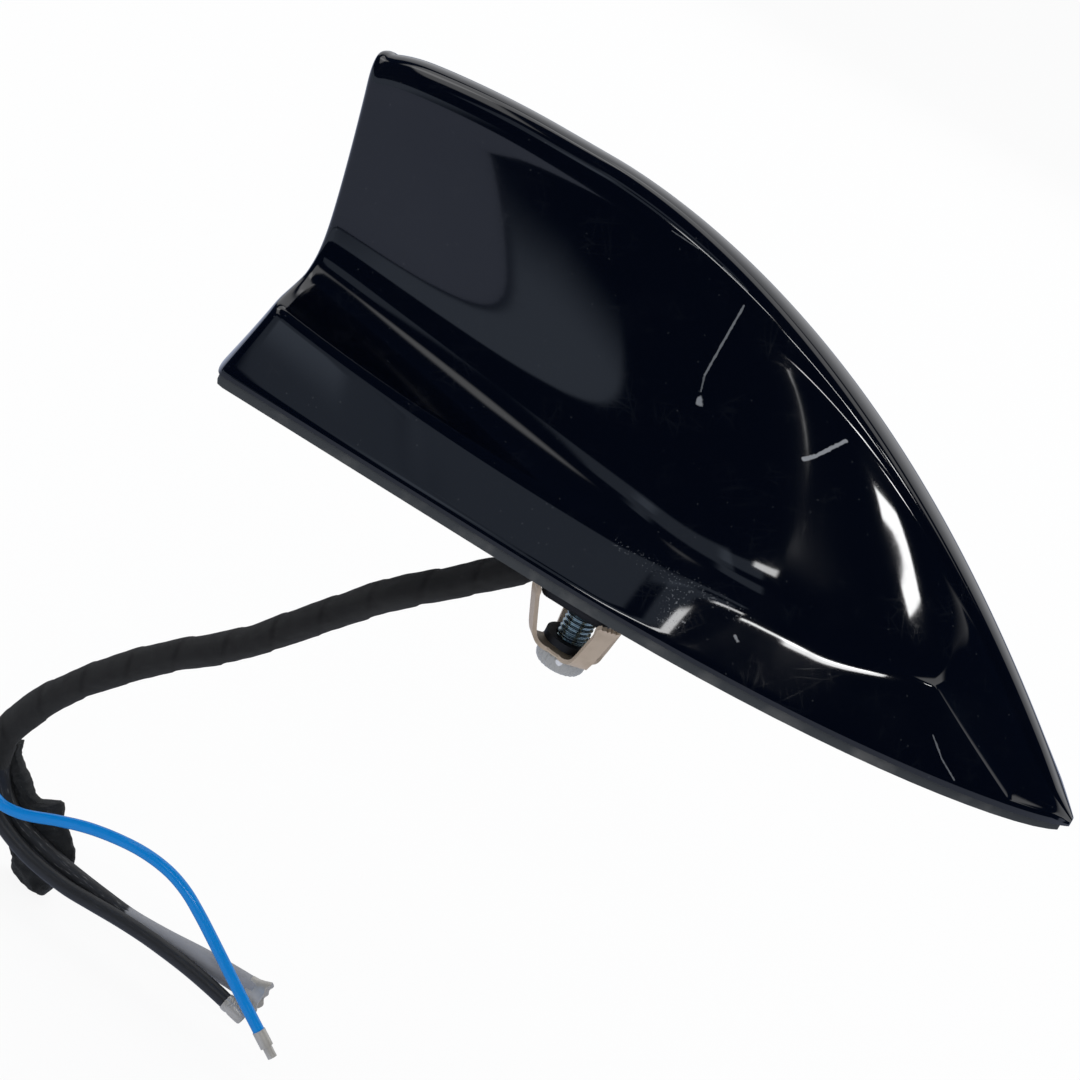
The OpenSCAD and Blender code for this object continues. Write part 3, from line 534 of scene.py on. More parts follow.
# %% Sizes of the fin
cover_low, cover_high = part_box("fin_cover")
COVER_LENGTH = 0.164
NOSE_X = 0.57 * COVER_LENGTH
TAIL_X = NOSE_X - COVER_LENGTH
HALF_WIDTH = cover_high.y
FIN_HEIGHT = 62.8 * MM
NOSE_HEIGHT = 3.8 * MM
BASE_Z = 2.0 * MM
WALL = 2.2 * MM
SHOULDER_X, CREST_X, TAIL_CREST_X = -10 * MM, -30 * MM, -40 * MM
TAIL_DROP = 2.8 * MM
BELT_HEIGHT, BELT_RISE, BELT_SWELL = 12.2 * MM, 3.2 * MM, 2.6 * MM
BELT_INSET, BELT_TURN, BELT_LANDING, SWELL_RUN = 7.6 * MM, 32 * MM, 12 * MM, 20 * MM
FRONT_INSET, FRONT_RISE, FRONT_START, FRONT_RUN = 4.8 * MM, 1.0 * MM, 4 * MM, 26 * MM
RIDGE_WIDTH, RIDGE_DEPTH, NOSE_RIDGE_DEPTH, NOSE_ROUND = 12.0 * MM, 6.4 * MM, 2.4 * MM, 1.5 * MM
CORNER_ROUND, CORNER_DROP = 8.0 * MM, 0.8 * MM
FRONT_FULLNESS, SCOOP = 0.86, 11
ROUND_SHARE, FRONT_ROUND_SHARE = 0.12, 0.22
LIP_HEIGHT = 1.0 * MM
TAIL_WAIST, TAIL_LEAN, TAIL_BOW, TAIL_ROUND = 4.8 * MM, 7.6 * MM, 5.0 * MM, 2.4 * MM
WAIST_Z, UPPER_LEAN = 19 * MM, 40 * MM
RIDGE_RUN, TAPER_RUN, SCOOP_RUN = 80 * MM, 90 * MM, 110 * MM
PLAN_POWER, PLAN_BLUNTNESS, RIDGE_POWER, TAIL_POWER = 2.2, 0.72, 1.8, 4
EDGE_FALL = 0.04
print("fin from", round(TAIL_X, 4), "to", round(NOSE_X, 4), "m")

# %% Section of the fin


def clamped(value):
    return min(1.0, max(0.0, value))


def smooth(value):
    value = clamped(value)
    return value * value * (3 - 2 * value)


def blend(first, second, share):
    return first + (second - first) * share


def plan_half(x):
    """Half the width of the base at x."""
    share = max(0.0, (x - SHOULDER_X) / (NOSE_X - SHOULDER_X))
    return HALF_WIDTH * max(0.0, 1 - share**PLAN_POWER) ** PLAN_BLUNTNESS


def ridge_top(x):
    """Height of the ridge at x."""
    fall = max(0.0, (x - CREST_X) / (NOSE_X - NOSE_ROUND - CREST_X))
    rear = max(0.0, (TAIL_CREST_X - x) / (TAIL_CREST_X - TAIL_X))
    corner = clamped(1 - (x - TAIL_X) / CORNER_ROUND)
    rounding = CORNER_DROP * corner**2.6
    sink = (FIN_HEIGHT - NOSE_HEIGHT) * fall**RIDGE_POWER
    return FIN_HEIGHT - sink - TAIL_DROP * rear * rear - rounding


def curve(first, corner, last, share):
    """A point on a rounded corner between two straight edges."""
    return blend(blend(first, corner, share), blend(corner, last, share), share)


SECTION_STOPS = (0.03, 0.06, 0.24, 0.34, 0.84, 1.0)


def section_point(x, place):
    """The (y, z) of the shell at x; place runs from 0 at the base edge to 1 on the ridge."""
    half = plan_half(x)
    top = ridge_top(x)
    rise = top - BASE_Z
    turn = NOSE_X - BELT_TURN
    down = clamped((x - turn) / (BELT_TURN - BELT_LANDING))
    lip = BASE_Z + min(LIP_HEIGHT, 0.25 * rise)
    steeper = smooth((x - FRONT_START) / FRONT_RUN)
    belt_in = blend(BELT_INSET, FRONT_INSET, steeper)
    swell = BELT_SWELL * smooth((x - turn + SWELL_RUN) / SWELL_RUN)
    belt = BELT_HEIGHT + FRONT_RISE * steeper + BELT_RISE * max(0.0, x / TAIL_X) ** 2.5 + swell
    belt_z = min(blend(belt, lip + 0.8 * MM, down), BASE_Z + 0.55 * rise)
    belt_y = half - min(belt_in * (1 - down) + 0.3 * MM, 0.45 * half)
    ridge_y = min(RIDGE_WIDTH / 2 * blend(1, 0.6, smooth(x / TAPER_RUN)), 0.5 * half)
    depth = blend(RIDGE_DEPTH, NOSE_RIDGE_DEPTH, smooth((x - CREST_X) / RIDGE_RUN))
    ridge_z = top - min(depth, 0.22 * rise)
    forward = smooth((x - TAIL_X) / SCOOP_RUN)
    straight = blend(0.14, 0.90, forward)
    fullness = blend(1.0, FRONT_FULLNESS, forward)

    def flank(share):
        lean_in = straight * (1 - share) ** fullness + (1 - straight) * (1 - share) ** SCOOP
        return Vector((blend(ridge_y, belt_y, lean_in), blend(belt_z, ridge_z, share)))

    base = Vector((half, BASE_Z))
    skirt_low = Vector((half, lip))
    belt_corner = Vector((belt_y, belt_z))
    round_share = blend(ROUND_SHARE, FRONT_ROUND_SHARE, steeper)
    skirt_high = blend(skirt_low, belt_corner, 1 - round_share)
    round_start = blend(skirt_low, belt_corner, 0.08)
    flank_start = 0.1 * round_share
    stops = SECTION_STOPS
    if place < stops[0]:
        return blend(base, blend(base, skirt_low, 0.7), place / stops[0])
    if place < stops[1]:
        share = (place - stops[0]) / (stops[1] - stops[0])
        return curve(blend(base, skirt_low, 0.7), skirt_low, round_start, share)
    if place < stops[2]:
        return blend(round_start, skirt_high, (place - stops[1]) / (stops[2] - stops[1]))
    if place < stops[3]:
        share = (place - stops[2]) / (stops[3] - stops[2])
        return curve(skirt_high, belt_corner, flank(flank_start), share)
    if place < stops[4]:
        share = (place - stops[3]) / (stops[4] - stops[3])
        return flank(flank_start + (1 - flank_start) * share**1.5)
    turned = (place - stops[4]) / (stops[5] - stops[4]) * math.pi / 2
    return Vector((
        ridge_y * max(0.0, math.cos(turned)) ** 0.8,
        blend(ridge_z, top, math.sin(turned) ** 0.8),
    ))


print("section at the bolt:", [tuple(round(v, 4) for v in section_point(0, p)) for p in (0, 0.3, 1)])

# %% [markdown]
# The tail is bowed, stands in at its waist and has rounded edges. Each point of a section is
# slid forward by how far the tail stands in at its height, and less and less towards the nose.
# The first rows squeeze the tail section to the middle line, which rounds its edges and closes it.

# %% Lay the grid over the fin
TAIL_ROWS = 26
LENGTH_ROWS = 194
NOSE_ROWS = 4
ROWS = TAIL_ROWS + LENGTH_ROWS
SIDE_COLUMNS = 84


def tail_lean(z):
    share = (z - WAIST_Z) / (WAIST_Z if z < WAIST_Z else UPPER_LEAN)
    return TAIL_WAIST - (TAIL_WAIST if share < 0 else TAIL_LEAN) * abs(share) ** 1.25


def shell_point(row, column):
    """A point of the shell: row from the tail to the nose, column from -1 to 1 across."""
    squeeze, back, x = 1.0, 0.0, TAIL_X
    if row < TAIL_ROWS:
        squeeze = math.sin(row / TAIL_ROWS * math.pi / 2)
        back = TAIL_ROUND * (1 - squeeze**TAIL_POWER) ** (1 / TAIL_POWER)
    else:
        share = 1 - (1 - min(1.0, (row - TAIL_ROWS) / (LENGTH_ROWS - NOSE_ROWS))) ** 1.5
        x = min(blend(TAIL_X, NOSE_X, share), cover_high.x)
        past_nose = max(0.0, row - (ROWS - NOSE_ROWS)) / NOSE_ROWS
        squeeze = math.cos(past_nose * math.pi / 2)
    y, z = section_point(x, 1 - abs(column))
    lag = max(0.0, (NOSE_X - x) / COVER_LENGTH) ** 3
    side = math.copysign(1, column)
    return Vector((
        x - back + lag * (tail_lean(z) - TAIL_BOW * (1 - (y * squeeze / HALF_WIDTH) ** 2)),
        side * y * squeeze,
        z - (1 - squeeze) * EDGE_FALL * max(0.0, z - BASE_Z),
    ))


fin_mesh = bmesh.new()
skin = bmesh.ops.create_grid(fin_mesh, x_segments=ROWS, y_segments=2 * SIDE_COLUMNS, size=1.0)["verts"]
for vert in skin:
    row = round((vert.co.x + 1) / 2 * ROWS)
    vert.co = shell_point(row, vert.co.y)
bmesh.ops.remove_doubles(fin_mesh, verts=fin_mesh.verts, dist=2e-6)
outer_edge = [edge for edge in fin_mesh.edges if edge.is_boundary]
bmesh.ops.recalc_face_normals(fin_mesh, faces=fin_mesh.faces)
print("outer skin", len(fin_mesh.verts), "vertices,", len(outer_edge), "edges round the base")

# %% [markdown]
# The real cover has a wall, whose lower edge sits on the gasket. Solidify would thicken the whole
# skin and buckle it at the sharp nose, where nobody looks inside, so only the edge gets its wall:
# the open edge is extruded inwards and then a little upwards.

# %% Turn the base edge inwards
RIM_RISE = 0.8 * MM
rim = bmesh.ops.extrude_edge_only(fin_mesh, edges=outer_edge)
for vert in rim["geom"]:
    if isinstance(vert, bmesh.types.BMVert):
        half = max(abs(vert.co.y), 1e-6)
        inwards = WALL / 2 if vert.co.x < 0 else -WALL / 2
        keep = max(0.0, half - WALL) / half
        vert.co = Vector((vert.co.x + inwards, vert.co.y * keep, vert.co.z))
inner_edge = [item for item in rim["geom"] if isinstance(item, bmesh.types.BMEdge)]
roof = bmesh.ops.extrude_edge_only(fin_mesh, edges=inner_edge)
for item in roof["geom"]:
    if isinstance(item, bmesh.types.BMVert):
        item.co.z += RIM_RISE
bmesh.ops.recalc_face_normals(fin_mesh, faces=fin_mesh.faces)
fin = link_piece("fin_shell", fin_mesh, sharp_angle=math.radians(50))
print("fin shell", len(fin.data.polygons), "faces, box z", round(max(v.co.z for v in fin.data.vertices), 4))

# %% [markdown]
# The paint is black with a trace of blue under a clear coat. A plain glossy black would look like
# new plastic, and this fin has been on a road: the coat has swirled hairlines and fine dust specks,
# a few long scratches, a chip and stretches that are peppered with tiny ones. The swirls are laid at
# three angles so that no direction stands out, and each long scratch has its own start and end.

# %% Gloss paint
paint, tree, shader = start_material(
    "gloss_black_paint", IOR=1.5, Coat_Roughness=0.03, Coat_IOR=1.45,
)
point = object_point(tree)
swirls = [
    use_group(tree, hairlines, Vector=point, Turn=turn, Scale=scale, Width=0.03, Sparseness=sparse)
    for turn, scale, sparse in ((0.5, 300.0, 0.52), (1.9, 260.0, 0.55), (-0.9, 340.0, 0.55))
]
two_swirls = math_node(tree, "MAXIMUM", swirls[0].outputs[0], swirls[1].outputs[0])
swirl_mask = math_node(tree, "MAXIMUM", two_swirls, swirls[2].outputs[0])
film = use_group(tree, dust, Vector=point, Patch_scale=45.0, Cover=0.42)
speck_share = math_node(tree, "MULTIPLY", film.outputs["Specks"], 0.05)
swirl_share = math_node(tree, "MULTIPLY", swirl_mask, 0.006)
film_share = math_node(tree, "MULTIPLY", film.outputs["Mask"], 0.006)
wear_share = math_node(tree, "MAXIMUM", speck_share, swirl_share)
mark_share = math_node(tree, "ADD", wear_share, film_share, clamp=True)

# start and end in metres, width in millimetres, and how pale the mark is
SCRATCHES = [
    ((0.0002, -0.0060, 0.0532), (0.0007, -0.0105, 0.0404), 0.24, 0.35),
    ((0.0007, -0.0105, 0.0404), (0.0016, -0.0114, 0.0378), 0.20, 0.25),
    ((0.0021, -0.0118, 0.0366), (0.0024, -0.0118, 0.0360), 0.70, 0.50),
    ((0.0270, -0.0073, 0.0422), (0.0242, -0.0104, 0.0381), 0.38, 0.60),
    ((0.0242, -0.0104, 0.0381), (0.0228, -0.0113, 0.0368), 0.42, 0.60),
    ((0.0653, -0.0177, 0.0089), (0.0687, -0.0175, 0.0060), 0.16, 0.30),
    ((0.0687, -0.0175, 0.0060), (0.0722, -0.0167, 0.0037), 0.16, 0.30),
    ((-0.0171, -0.0057, 0.0581), (-0.0115, -0.0055, 0.0577), 0.12, 0.20),
    ((-0.0063, -0.0053, 0.0570), (-0.0006, -0.0054, 0.0556), 0.12, 0.20),
    ((0.0292, -0.0272, 0.0089), (0.0300, -0.0272, 0.0083), 0.30, 0.40),
]
# start, end, width and paleness of stretches that are peppered with tiny chips
PEPPERED = [
    ((0.0170, -0.0276, 0.0092), (0.0186, -0.0290, 0.0066), 3.0, 0.22),
    ((0.0090, -0.0258, 0.0115), (0.0290, -0.0258, 0.0122), 1.6, 0.14),
    ((0.0040, -0.0255, 0.0115), (0.0090, -0.0258, 0.0115), 1.2, 0.12),
]

for start, end, width, pale in SCRATCHES:
    mark = use_group(tree, scratch, Vector=point, Start=start, End=end, Width=width * MM)
    pale_mark = math_node(tree, "MULTIPLY", mark.outputs[0], pale)
    mark_share = math_node(tree, "MAXIMUM", mark_share, pale_mark)
pepper = add_node(tree, "ShaderNodeTexNoise", Vector=point, Scale=2600.0, Detail=2.0)
pepper_dots = step_up(tree, pepper.outputs[0], 0.60, 0.68)
for start, end, width, pale in PEPPERED:
    mark = use_group(tree, scratch, Vector=point, Start=start, End=end, Width=width * MM)
    dotted = math_node(tree, "MULTIPLY", mark.outputs[0], pepper_dots)
    pale_dots = math_node(tree, "MULTIPLY", dotted, pale)
    mark_share = math_node(tree, "MAXIMUM", mark_share, pale_dots)
paint_color = mix_color(tree, mark_share, (0.0006, 0.0010, 0.0026, 1), (0.35, 0.37, 0.40, 1))
tree.links.new(paint_color, shader.inputs["Base Color"])
paint_rough = math_node(tree, "MULTIPLY_ADD", film.outputs["Mask"], 0.04, 0.06)
swirl_rough = math_node(tree, "MULTIPLY_ADD", swirl_mask, 0.04, paint_rough)
mark_rough = math_node(tree, "MULTIPLY_ADD", mark_share, 0.6, swirl_rough)
tree.links.new(mark_rough, shader.inputs["Roughness"])
coat_left = math_node(tree, "MULTIPLY_ADD", mark_share, -0.6, 0.6, clamp=True)
tree.links.new(coat_left, shader.inputs["Coat Weight"])
peel = use_group(tree, grain, Vector=point, Scale=500.0, Coarse=0.6)
bump(tree, shader, peel.outputs[0], 0.0000015)
fin.data.materials.append(paint)
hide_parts("fin_cover")
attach(fin, "root")
print("paint on", fin.name)

# %% [markdown]
# The bolt, the claw's ring and the contacts are turned pieces. Spinning a drawn profile would make
# them perfectly round, so a turned piece is a grid that runs round an axis: a thread, a flute or a
# flare is then only a change of radius with the angle.

# %% Turn a grid about an axis


def along_profile(profile, share):
    """The (radius, height) in metres at a share of a profile drawn in millimetres."""
    place = share * (len(profile) - 1)
    index = min(int(place), len(profile) - 2)
    return blend(Vector(profile[index]), Vector(profile[index + 1]), place - index) * MM


def turned(bm, sides, steps, section, place=Matrix()):
    """Adds a turned surface to a bmesh. section(share, angle) gives its (radius, height)."""
    made = bmesh.ops.create_grid(bm, x_segments=sides, y_segments=steps, size=1.0)["verts"]
    for vert in made:
        angle = (vert.co.x + 1) * math.pi
        radius, height = section((vert.co.y + 1) / 2, angle)
        vert.co = place @ Vector((radius * math.cos(angle), radius * math.sin(angle), height))
    bmesh.ops.remove_doubles(bm, verts=made, dist=1e-7)
    bmesh.ops.recalc_face_normals(bm, faces=bm.faces)


print("ready to turn")

# %% [markdown]
# The bolt hangs from the base and pulls the claw up against the roof. A screw modifier could wind
# the thread, but it leaves open ends, so the shank's radius just rises and falls once a pitch as
# the grid goes round and down. The head is smooth on one side and fluted on the other, where a
# tool has gripped it.

# %% Clamp bolt
BOLT_RADIUS, BOLT_TOP, BOLT_END = 3.0 * MM, 1.0 * MM, -20.4 * MM
THREAD_PITCH, THREAD_DEPTH = 1.0 * MM, 0.42 * MM
FLUTES, FLUTE_DEPTH, FLUTES_AT = 24, 0.22 * MM, math.radians(-45)
HEAD_PROFILE = [
    (2.6, -20.6), (4.3, -20.7), (4.75, -20.9), (4.9, -21.4), (4.92, -22.1), (4.85, -22.8),
    (4.62, -23.4), (4.2, -23.9), (3.4, -24.2), (0.0, -24.3),
]


def thread_section(share, angle):
    height = blend(BOLT_END, BOLT_TOP, share)
    turn = (height / THREAD_PITCH - angle / math.tau) % 1.0
    return BOLT_RADIUS - THREAD_DEPTH * (0.5 - 0.5 * math.cos(turn * math.tau)), height


def head_section(share, angle):
    radius, height = along_profile(HEAD_PROFILE, share)
    fluted = smooth(0.5 + 0.9 * math.cos(angle - FLUTES_AT)) * smooth((radius / MM - 3.6) / 0.6)
    return radius - fluted * FLUTE_DEPTH * (0.5 - 0.5 * math.cos(FLUTES * angle)), height


bolt_mesh = bmesh.new()
turned(bolt_mesh, 56, 210, thread_section)
turned(bolt_mesh, 192, 36, head_section)
bolt = link_piece("threaded_bolt", bolt_mesh, sharp_angle=math.radians(50))
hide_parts("clamp_bolt")
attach(bolt, "root")
print("bolt", len(bolt.data.polygons), "faces")

# %% [markdown]
# A square plastic neck stands through the hole in the roof and centres the fin. It is a box with
# rounded edges, so it is made as one: a cube whose corners are put in place and then bevelled.

# %% Plastic neck round the bolt
NECK_LOW, NECK_HIGH = -11.9 * MM, -1.0 * MM
NECK_HALF, NECK_REAR, NECK_ROUND = 6.2 * MM, -8.4 * MM, 1.6 * MM

neck_mesh = bmesh.new()
bmesh.ops.create_cube(neck_mesh, size=1.0)
for vert in neck_mesh.verts:
    vert.co = Vector((
        NECK_HALF if vert.co.x > 0 else NECK_REAR,
        math.copysign(NECK_HALF, vert.co.y),
        NECK_HIGH if vert.co.z > 0 else NECK_LOW,
    ))
bmesh.ops.bevel(
    neck_mesh, geom=neck_mesh.edges[:], offset=NECK_ROUND, segments=5, profile=0.5, affect="EDGES",
)
neck = link_piece("neck_moulding", neck_mesh, sharp_angle=math.radians(50))
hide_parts("neck_sleeve")
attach(neck, "root")
print("neck", len(neck.data.polygons), "faces")

# %% [markdown]
# The claw is one sheet of spring steel: a plate with four legs that are bent up and out. Each leg
# starts as a flat strip that is laid along a bent line and then given its thickness. Use has bent
# the legs unevenly, so each has its own direction and spread.

# %% Spring claw
CLAW_SHEET = 0.8 * MM
LEG_LINE = [
    (4.0, -20.9), (5.6, -20.8), (7.1, -20.1), (8.2, -18.6), (9.3, -16.0), (10.4, -13.2),
    (11.0, -11.6), (11.3, -10.4), (12.1, -9.4),
]
# direction seen from above, and share of the full spread
LEGS = ((-146, 1.0), (-51, 0.97), (42, 0.5), (116, 0.7))
PLATE_PROFILE = [(3.1, -20.8), (5.3, -20.8), (5.45, -20.5), (5.3, -20.1), (3.1, -20.1)]


def leg_half_width(share):
    return blend(3.0, 1.85, smooth(share / 0.3)) + 0.35 * smooth((share - 0.8) / 0.15)


claw_mesh = bmesh.new()
for angle, spread in LEGS:
    bent = [(6 + (reach - 6) * spread if reach > 6 else reach, 0, height) for reach, height in LEG_LINE]
    line = [point * MM for point in smooth_route(bent, 6)[0]]
    strip = bmesh.ops.create_grid(claw_mesh, x_segments=len(line) - 1, y_segments=12, size=1.0)["verts"]
    turn = Matrix.Rotation(math.radians(angle), 4, "Z")
    for vert in strip:
        share = (vert.co.x + 1) / 2
        across = vert.co.y * leg_half_width(share) * MM
        tooth = 0.05 * share**8 * (0.5 - 0.5 * math.cos(vert.co.y * 2.5 * math.tau))
        place = max(0.0, share - tooth) * (len(line) - 1)
        index = min(int(place), len(line) - 2)
        point = blend(line[index], line[index + 1], place - index)
        vert.co = turn @ Vector((point.x, across, point.z))
bmesh.ops.recalc_face_normals(claw_mesh, faces=claw_mesh.faces)
bmesh.ops.solidify(claw_mesh, geom=claw_mesh.faces[:], thickness=CLAW_SHEET)
turned(claw_mesh, 96, len(PLATE_PROFILE) - 1, lambda share, angle: along_profile(PLATE_PROFILE, share))
claw = link_piece("spring_claw", claw_mesh, sharp_angle=math.radians(40))
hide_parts("roof_claw")
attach(claw, "root")
print("claw", len(claw.data.polygons), "faces")

# %% [markdown]
# The black lead ends in a rolled metal ferrule with a slot, and the grey one in a flared crimp
# whose rim is bent and worn. Both are turned from a profile at the end of their lead. The grey one
# is stretched upright to follow its flared jacket, and noise takes bites out of its rim.

# %% Ferrules of the black and the grey lead
FERRULE_PROFILE = [
    (1.5, -0.5), (1.74, -0.45), (1.82, 0.1), (1.78, 0.7), (1.64, 1.0), (1.64, 1.2), (1.74, 1.5),
    (1.74, 3.6), (1.66, 4.3), (1.45, 4.5), (1.3, 4.2), (1.2, 2.4), (0.0, 2.3),
]
FLARE_PROFILE = [
    (1.8, -1.6), (1.9, -1.5), (1.94, 0.0), (2.1, 1.0), (2.3, 1.9), (2.42, 2.5), (2.3, 2.6),
    (2.0, 1.6), (1.75, 0.6), (0.0, 0.4),
]


def end_of(name):
    """A matrix at the end of a lead: z runs on along it and y points up."""
    line = lead_lines[name][0]
    ahead = (line[-1] - line[-2]).normalized()
    aside = Vector((0, 1, 0)).cross(ahead).normalized()
    turn = Matrix((ahead.cross(-aside), -aside, ahead)).transposed().to_4x4()
    return Matrix.Translation(line[-1]) @ turn


def ferrule_section(share, angle):
    radius, height = along_profile(FERRULE_PROFILE, share)
    slot = abs((angle - 1.3) % math.tau) < 0.16 and 1.6 * MM < height < 3.4 * MM
    return radius - (0.35 * MM if slot else 0.0), height


def flare_section(share, angle):
    radius, height = along_profile(FLARE_PROFILE, share)
    worn = noise.noise((math.cos(angle) * 2.2, math.sin(angle) * 2.2, 5.0))
    cut = smooth(height / (2.6 * MM)) * (0.7 * MM * worn - 0.8 * MM * max(0.0, math.cos(angle - 4.2)))
    return radius * (1 + 0.03 * worn), height + cut


ferrules = {}
for name, section, stretch, shift in (
    ("black_jacket", ferrule_section, 1.0, 0.0), ("grey_jacket", flare_section, 1.62, -1.12 * MM),
):
    ferrule_mesh = bmesh.new()
    lowered = Matrix.Translation((0, shift, 0)) @ Matrix.Diagonal((1.0, stretch, 1.0, 1.0))
    turned(ferrule_mesh, 96, 60, section, end_of(name) @ lowered)
    ferrules[name] = link_piece(name.replace("jacket", "ferrule"), ferrule_mesh, math.radians(45))
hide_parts("black_contact")
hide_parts("grey_contact")
for ferrule in ferrules.values():
    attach(ferrule, "root")
print("ferrules", [len(ferrule.data.polygons) for ferrule in ferrules.values()])

# %% [markdown]
# Cloth tape is a plain weave with glue behind it. Its threads are about a quarter of a millimetre
# apart, too fine to model, so they are a bump on the UV map: one wave along and one wave round.
# Handling has left grey dust on the high places, and rare pale specks in the colour are painted glints.

# %% Weave of the cloth tape
weave, weave_in, weave_out = start_group(
    "weave",
    [("UV", "Vector", None), ("Along", "Float", 600.0), ("Round", "Float", 80.0)],
    [("Height", "Float")],
)
weave_split = add_node(weave, "ShaderNodeSeparateXYZ", Vector=weave_in.outputs[0])
along_turns = math_node(weave, "MULTIPLY", weave_split.outputs[0], weave_in.outputs[1])
round_turns = math_node(weave, "MULTIPLY", weave_split.outputs[1], weave_in.outputs[2])
along_wave = math_node(weave, "SINE", math_node(weave, "MULTIPLY", along_turns, math.tau))
round_wave = math_node(weave, "SINE", math_node(weave, "MULTIPLY", round_turns, math.tau))
over_under = math_node(weave, "MULTIPLY", along_wave, round_wave)
weave.links.new(math_node(weave, "MULTIPLY_ADD", over_under, 0.5, 0.5), weave_out.inputs[0])
print("weave group with", len(weave.nodes), "nodes")

# %% Cloth tape


def cloth_material(name, color, dust_and_glint_color, thread_counts, dust_cover, gloss):
    """Cloth tape with its weave, creases, dust and painted glints."""
    material, tree, shader = start_material(
        name, Roughness=0.8, Sheen_Weight=0.12, Sheen_Roughness=0.5, Specular_IOR_Level=gloss,
    )
    point = object_point(tree)
    flat = tree.nodes.new("ShaderNodeUVMap")
    flat.uv_map = "along"
    threads = use_group(tree, weave, UV=flat.outputs[0], Along=thread_counts[0], Round=thread_counts[1])
    film = use_group(tree, dust, Vector=point, Patch_scale=120.0, Cover=dust_cover)
    fibres = use_group(tree, grain, Vector=point, Scale=2600.0, Coarse=1.0)
    shade = math_node(tree, "MULTIPLY", threads.outputs[0], fibres.outputs[0])
    woven = mix_color(tree, shade, tuple(0.45 * part for part in color) + (1,), color + (1,))
    high_places = math_node(tree, "MULTIPLY_ADD", shade, 0.7, 0.1)
    dusty = math_node(tree, "MULTIPLY", film.outputs["Mask"], high_places)
    # Rare pale specks mixed into the colour are painted glints; the patches are dust.
    painted_glints = math_node(tree, "MULTIPLY", film.outputs["Specks"], 0.5)
    dust_and_painted_glints = math_node(tree, "MAXIMUM", dusty, painted_glints)
    tree.links.new(mix_color(tree, dust_and_painted_glints, woven, dust_and_glint_color + (1,)), shader.inputs["Base Color"])
    height = math_node(tree, "MULTIPLY_ADD", fibres.outputs[0], 0.6, threads.outputs[0])
    bump(tree, shader, height, 0.00012)
    return material


loom_cloth = cloth_material(
    "loom_cloth", color=(0.007, 0.007, 0.008), dust_and_glint_color=(0.05, 0.05, 0.05),
    thread_counts=(620.0, 78.0), dust_cover=0.36, gloss=0.25,
)
flap_cloth = cloth_material(
    "flap_cloth", color=(0.012, 0.014, 0.015), dust_and_glint_color=(0.16, 0.17, 0.17),
    thread_counts=(120.0, 170.0), dust_cover=0.30, gloss=0.5,
)
loom.data.materials.append(loom_cloth)
flap.data.materials.append(flap_cloth)
print("cloth on", loom.name, "and", flap.name)

# %% [markdown]
# A jacket is extruded plastic, smooth along its length. The blue one is bright and a little
# shiny, the black and the grey ones are satin. A noise stretched along the UV map gives scuffs
# that run with the lead. The grey lead leaves the loom inside a dark sheath, so its colour
# changes at a ragged line part of the way along.

# %% Jackets


def jacket_material(name, color, mark_color, roughness, sheath=None):
    """Extruded plastic with scuffs along it; sheath is (share along, colour) of a dark first part."""
    material, tree, shader = start_material(name, IOR=1.5)
    point = object_point(tree)
    flat = tree.nodes.new("ShaderNodeUVMap")
    flat.uv_map = "along"
    split = add_node(tree, "ShaderNodeSeparateXYZ", Vector=flat.outputs[0])
    scuff = vector_math(tree, "MULTIPLY", flat.outputs[0], (26.0, 46.0, 1.0))
    streaks = add_node(tree, "ShaderNodeTexNoise", Vector=scuff, Scale=1.0, Detail=4.0)
    film = use_group(tree, dust, Vector=point, Patch_scale=160.0, Cover=0.34)
    base = color + (1,)
    if sheath:
        ragged = math_node(tree, "MULTIPLY_ADD", streaks.outputs[0], 0.04, split.outputs[0])
        past_sheath = step_up(tree, ragged, sheath[0], sheath[0] + 0.01)
        base = mix_color(tree, past_sheath, sheath[1] + (1,), base)
    scuffed = math_node(tree, "MULTIPLY", step_up(tree, streaks.outputs[0], 0.56, 0.72), 0.35)
    dusty = math_node(tree, "MULTIPLY", film.outputs["Mask"], 0.25)
    mark = math_node(tree, "MAXIMUM", scuffed, dusty)
    tree.links.new(mix_color(tree, mark, base, mark_color + (1,)), shader.inputs["Base Color"])
    tree.links.new(math_node(tree, "MULTIPLY_ADD", mark, 0.3, roughness), shader.inputs["Roughness"])
    skin = use_group(tree, grain, Vector=point, Scale=1500.0, Coarse=0.8)
    bump(tree, shader, skin.outputs[0], 0.00001)
    return material


jackets = {
    "blue_jacket": jacket_material("blue_plastic", (0.0, 0.20, 0.60), (0.02, 0.30, 0.70), 0.16),
    "black_jacket": jacket_material("black_plastic", (0.017, 0.018, 0.02), (0.06, 0.06, 0.065), 0.42),
    "grey_jacket": jacket_material(
        "grey_plastic", (0.26, 0.265, 0.285), (0.32, 0.32, 0.32), 0.45,
        sheath=(0.60, (0.016, 0.017, 0.019)),
    ),
}
for name, lead in leads.items():
    lead.data.materials.append(jackets[name])
print("jackets on", ", ".join(leads))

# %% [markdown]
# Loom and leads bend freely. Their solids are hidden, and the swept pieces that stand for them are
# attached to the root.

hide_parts("loom_sleeve")
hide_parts("tape_end")
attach(loom, "root")
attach(flap, "root")
for name, node_name, contact in (
    ("blue_jacket", "blue_lead", "blue_contact"),
    ("black_jacket", "black_lead", "black_contact"),
    ("grey_jacket", "grey_lead", "grey_contact"),
):
    line, length, radius = lead_lines[name]
    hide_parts(node_name)
    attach(leads[name], "root")

# %% [markdown]
# The other solids keep their own meshes and get finishes. Most of them are inside the fin, where
# they show only when it is taken apart, but a finish costs a line: moulded and rubber parts are a
# colour with grain, and metal parts are a colour with grain and hairlines.

# %% Finishes for the solids


DUST_COLOR = (0.25, 0.24, 0.23, 1)


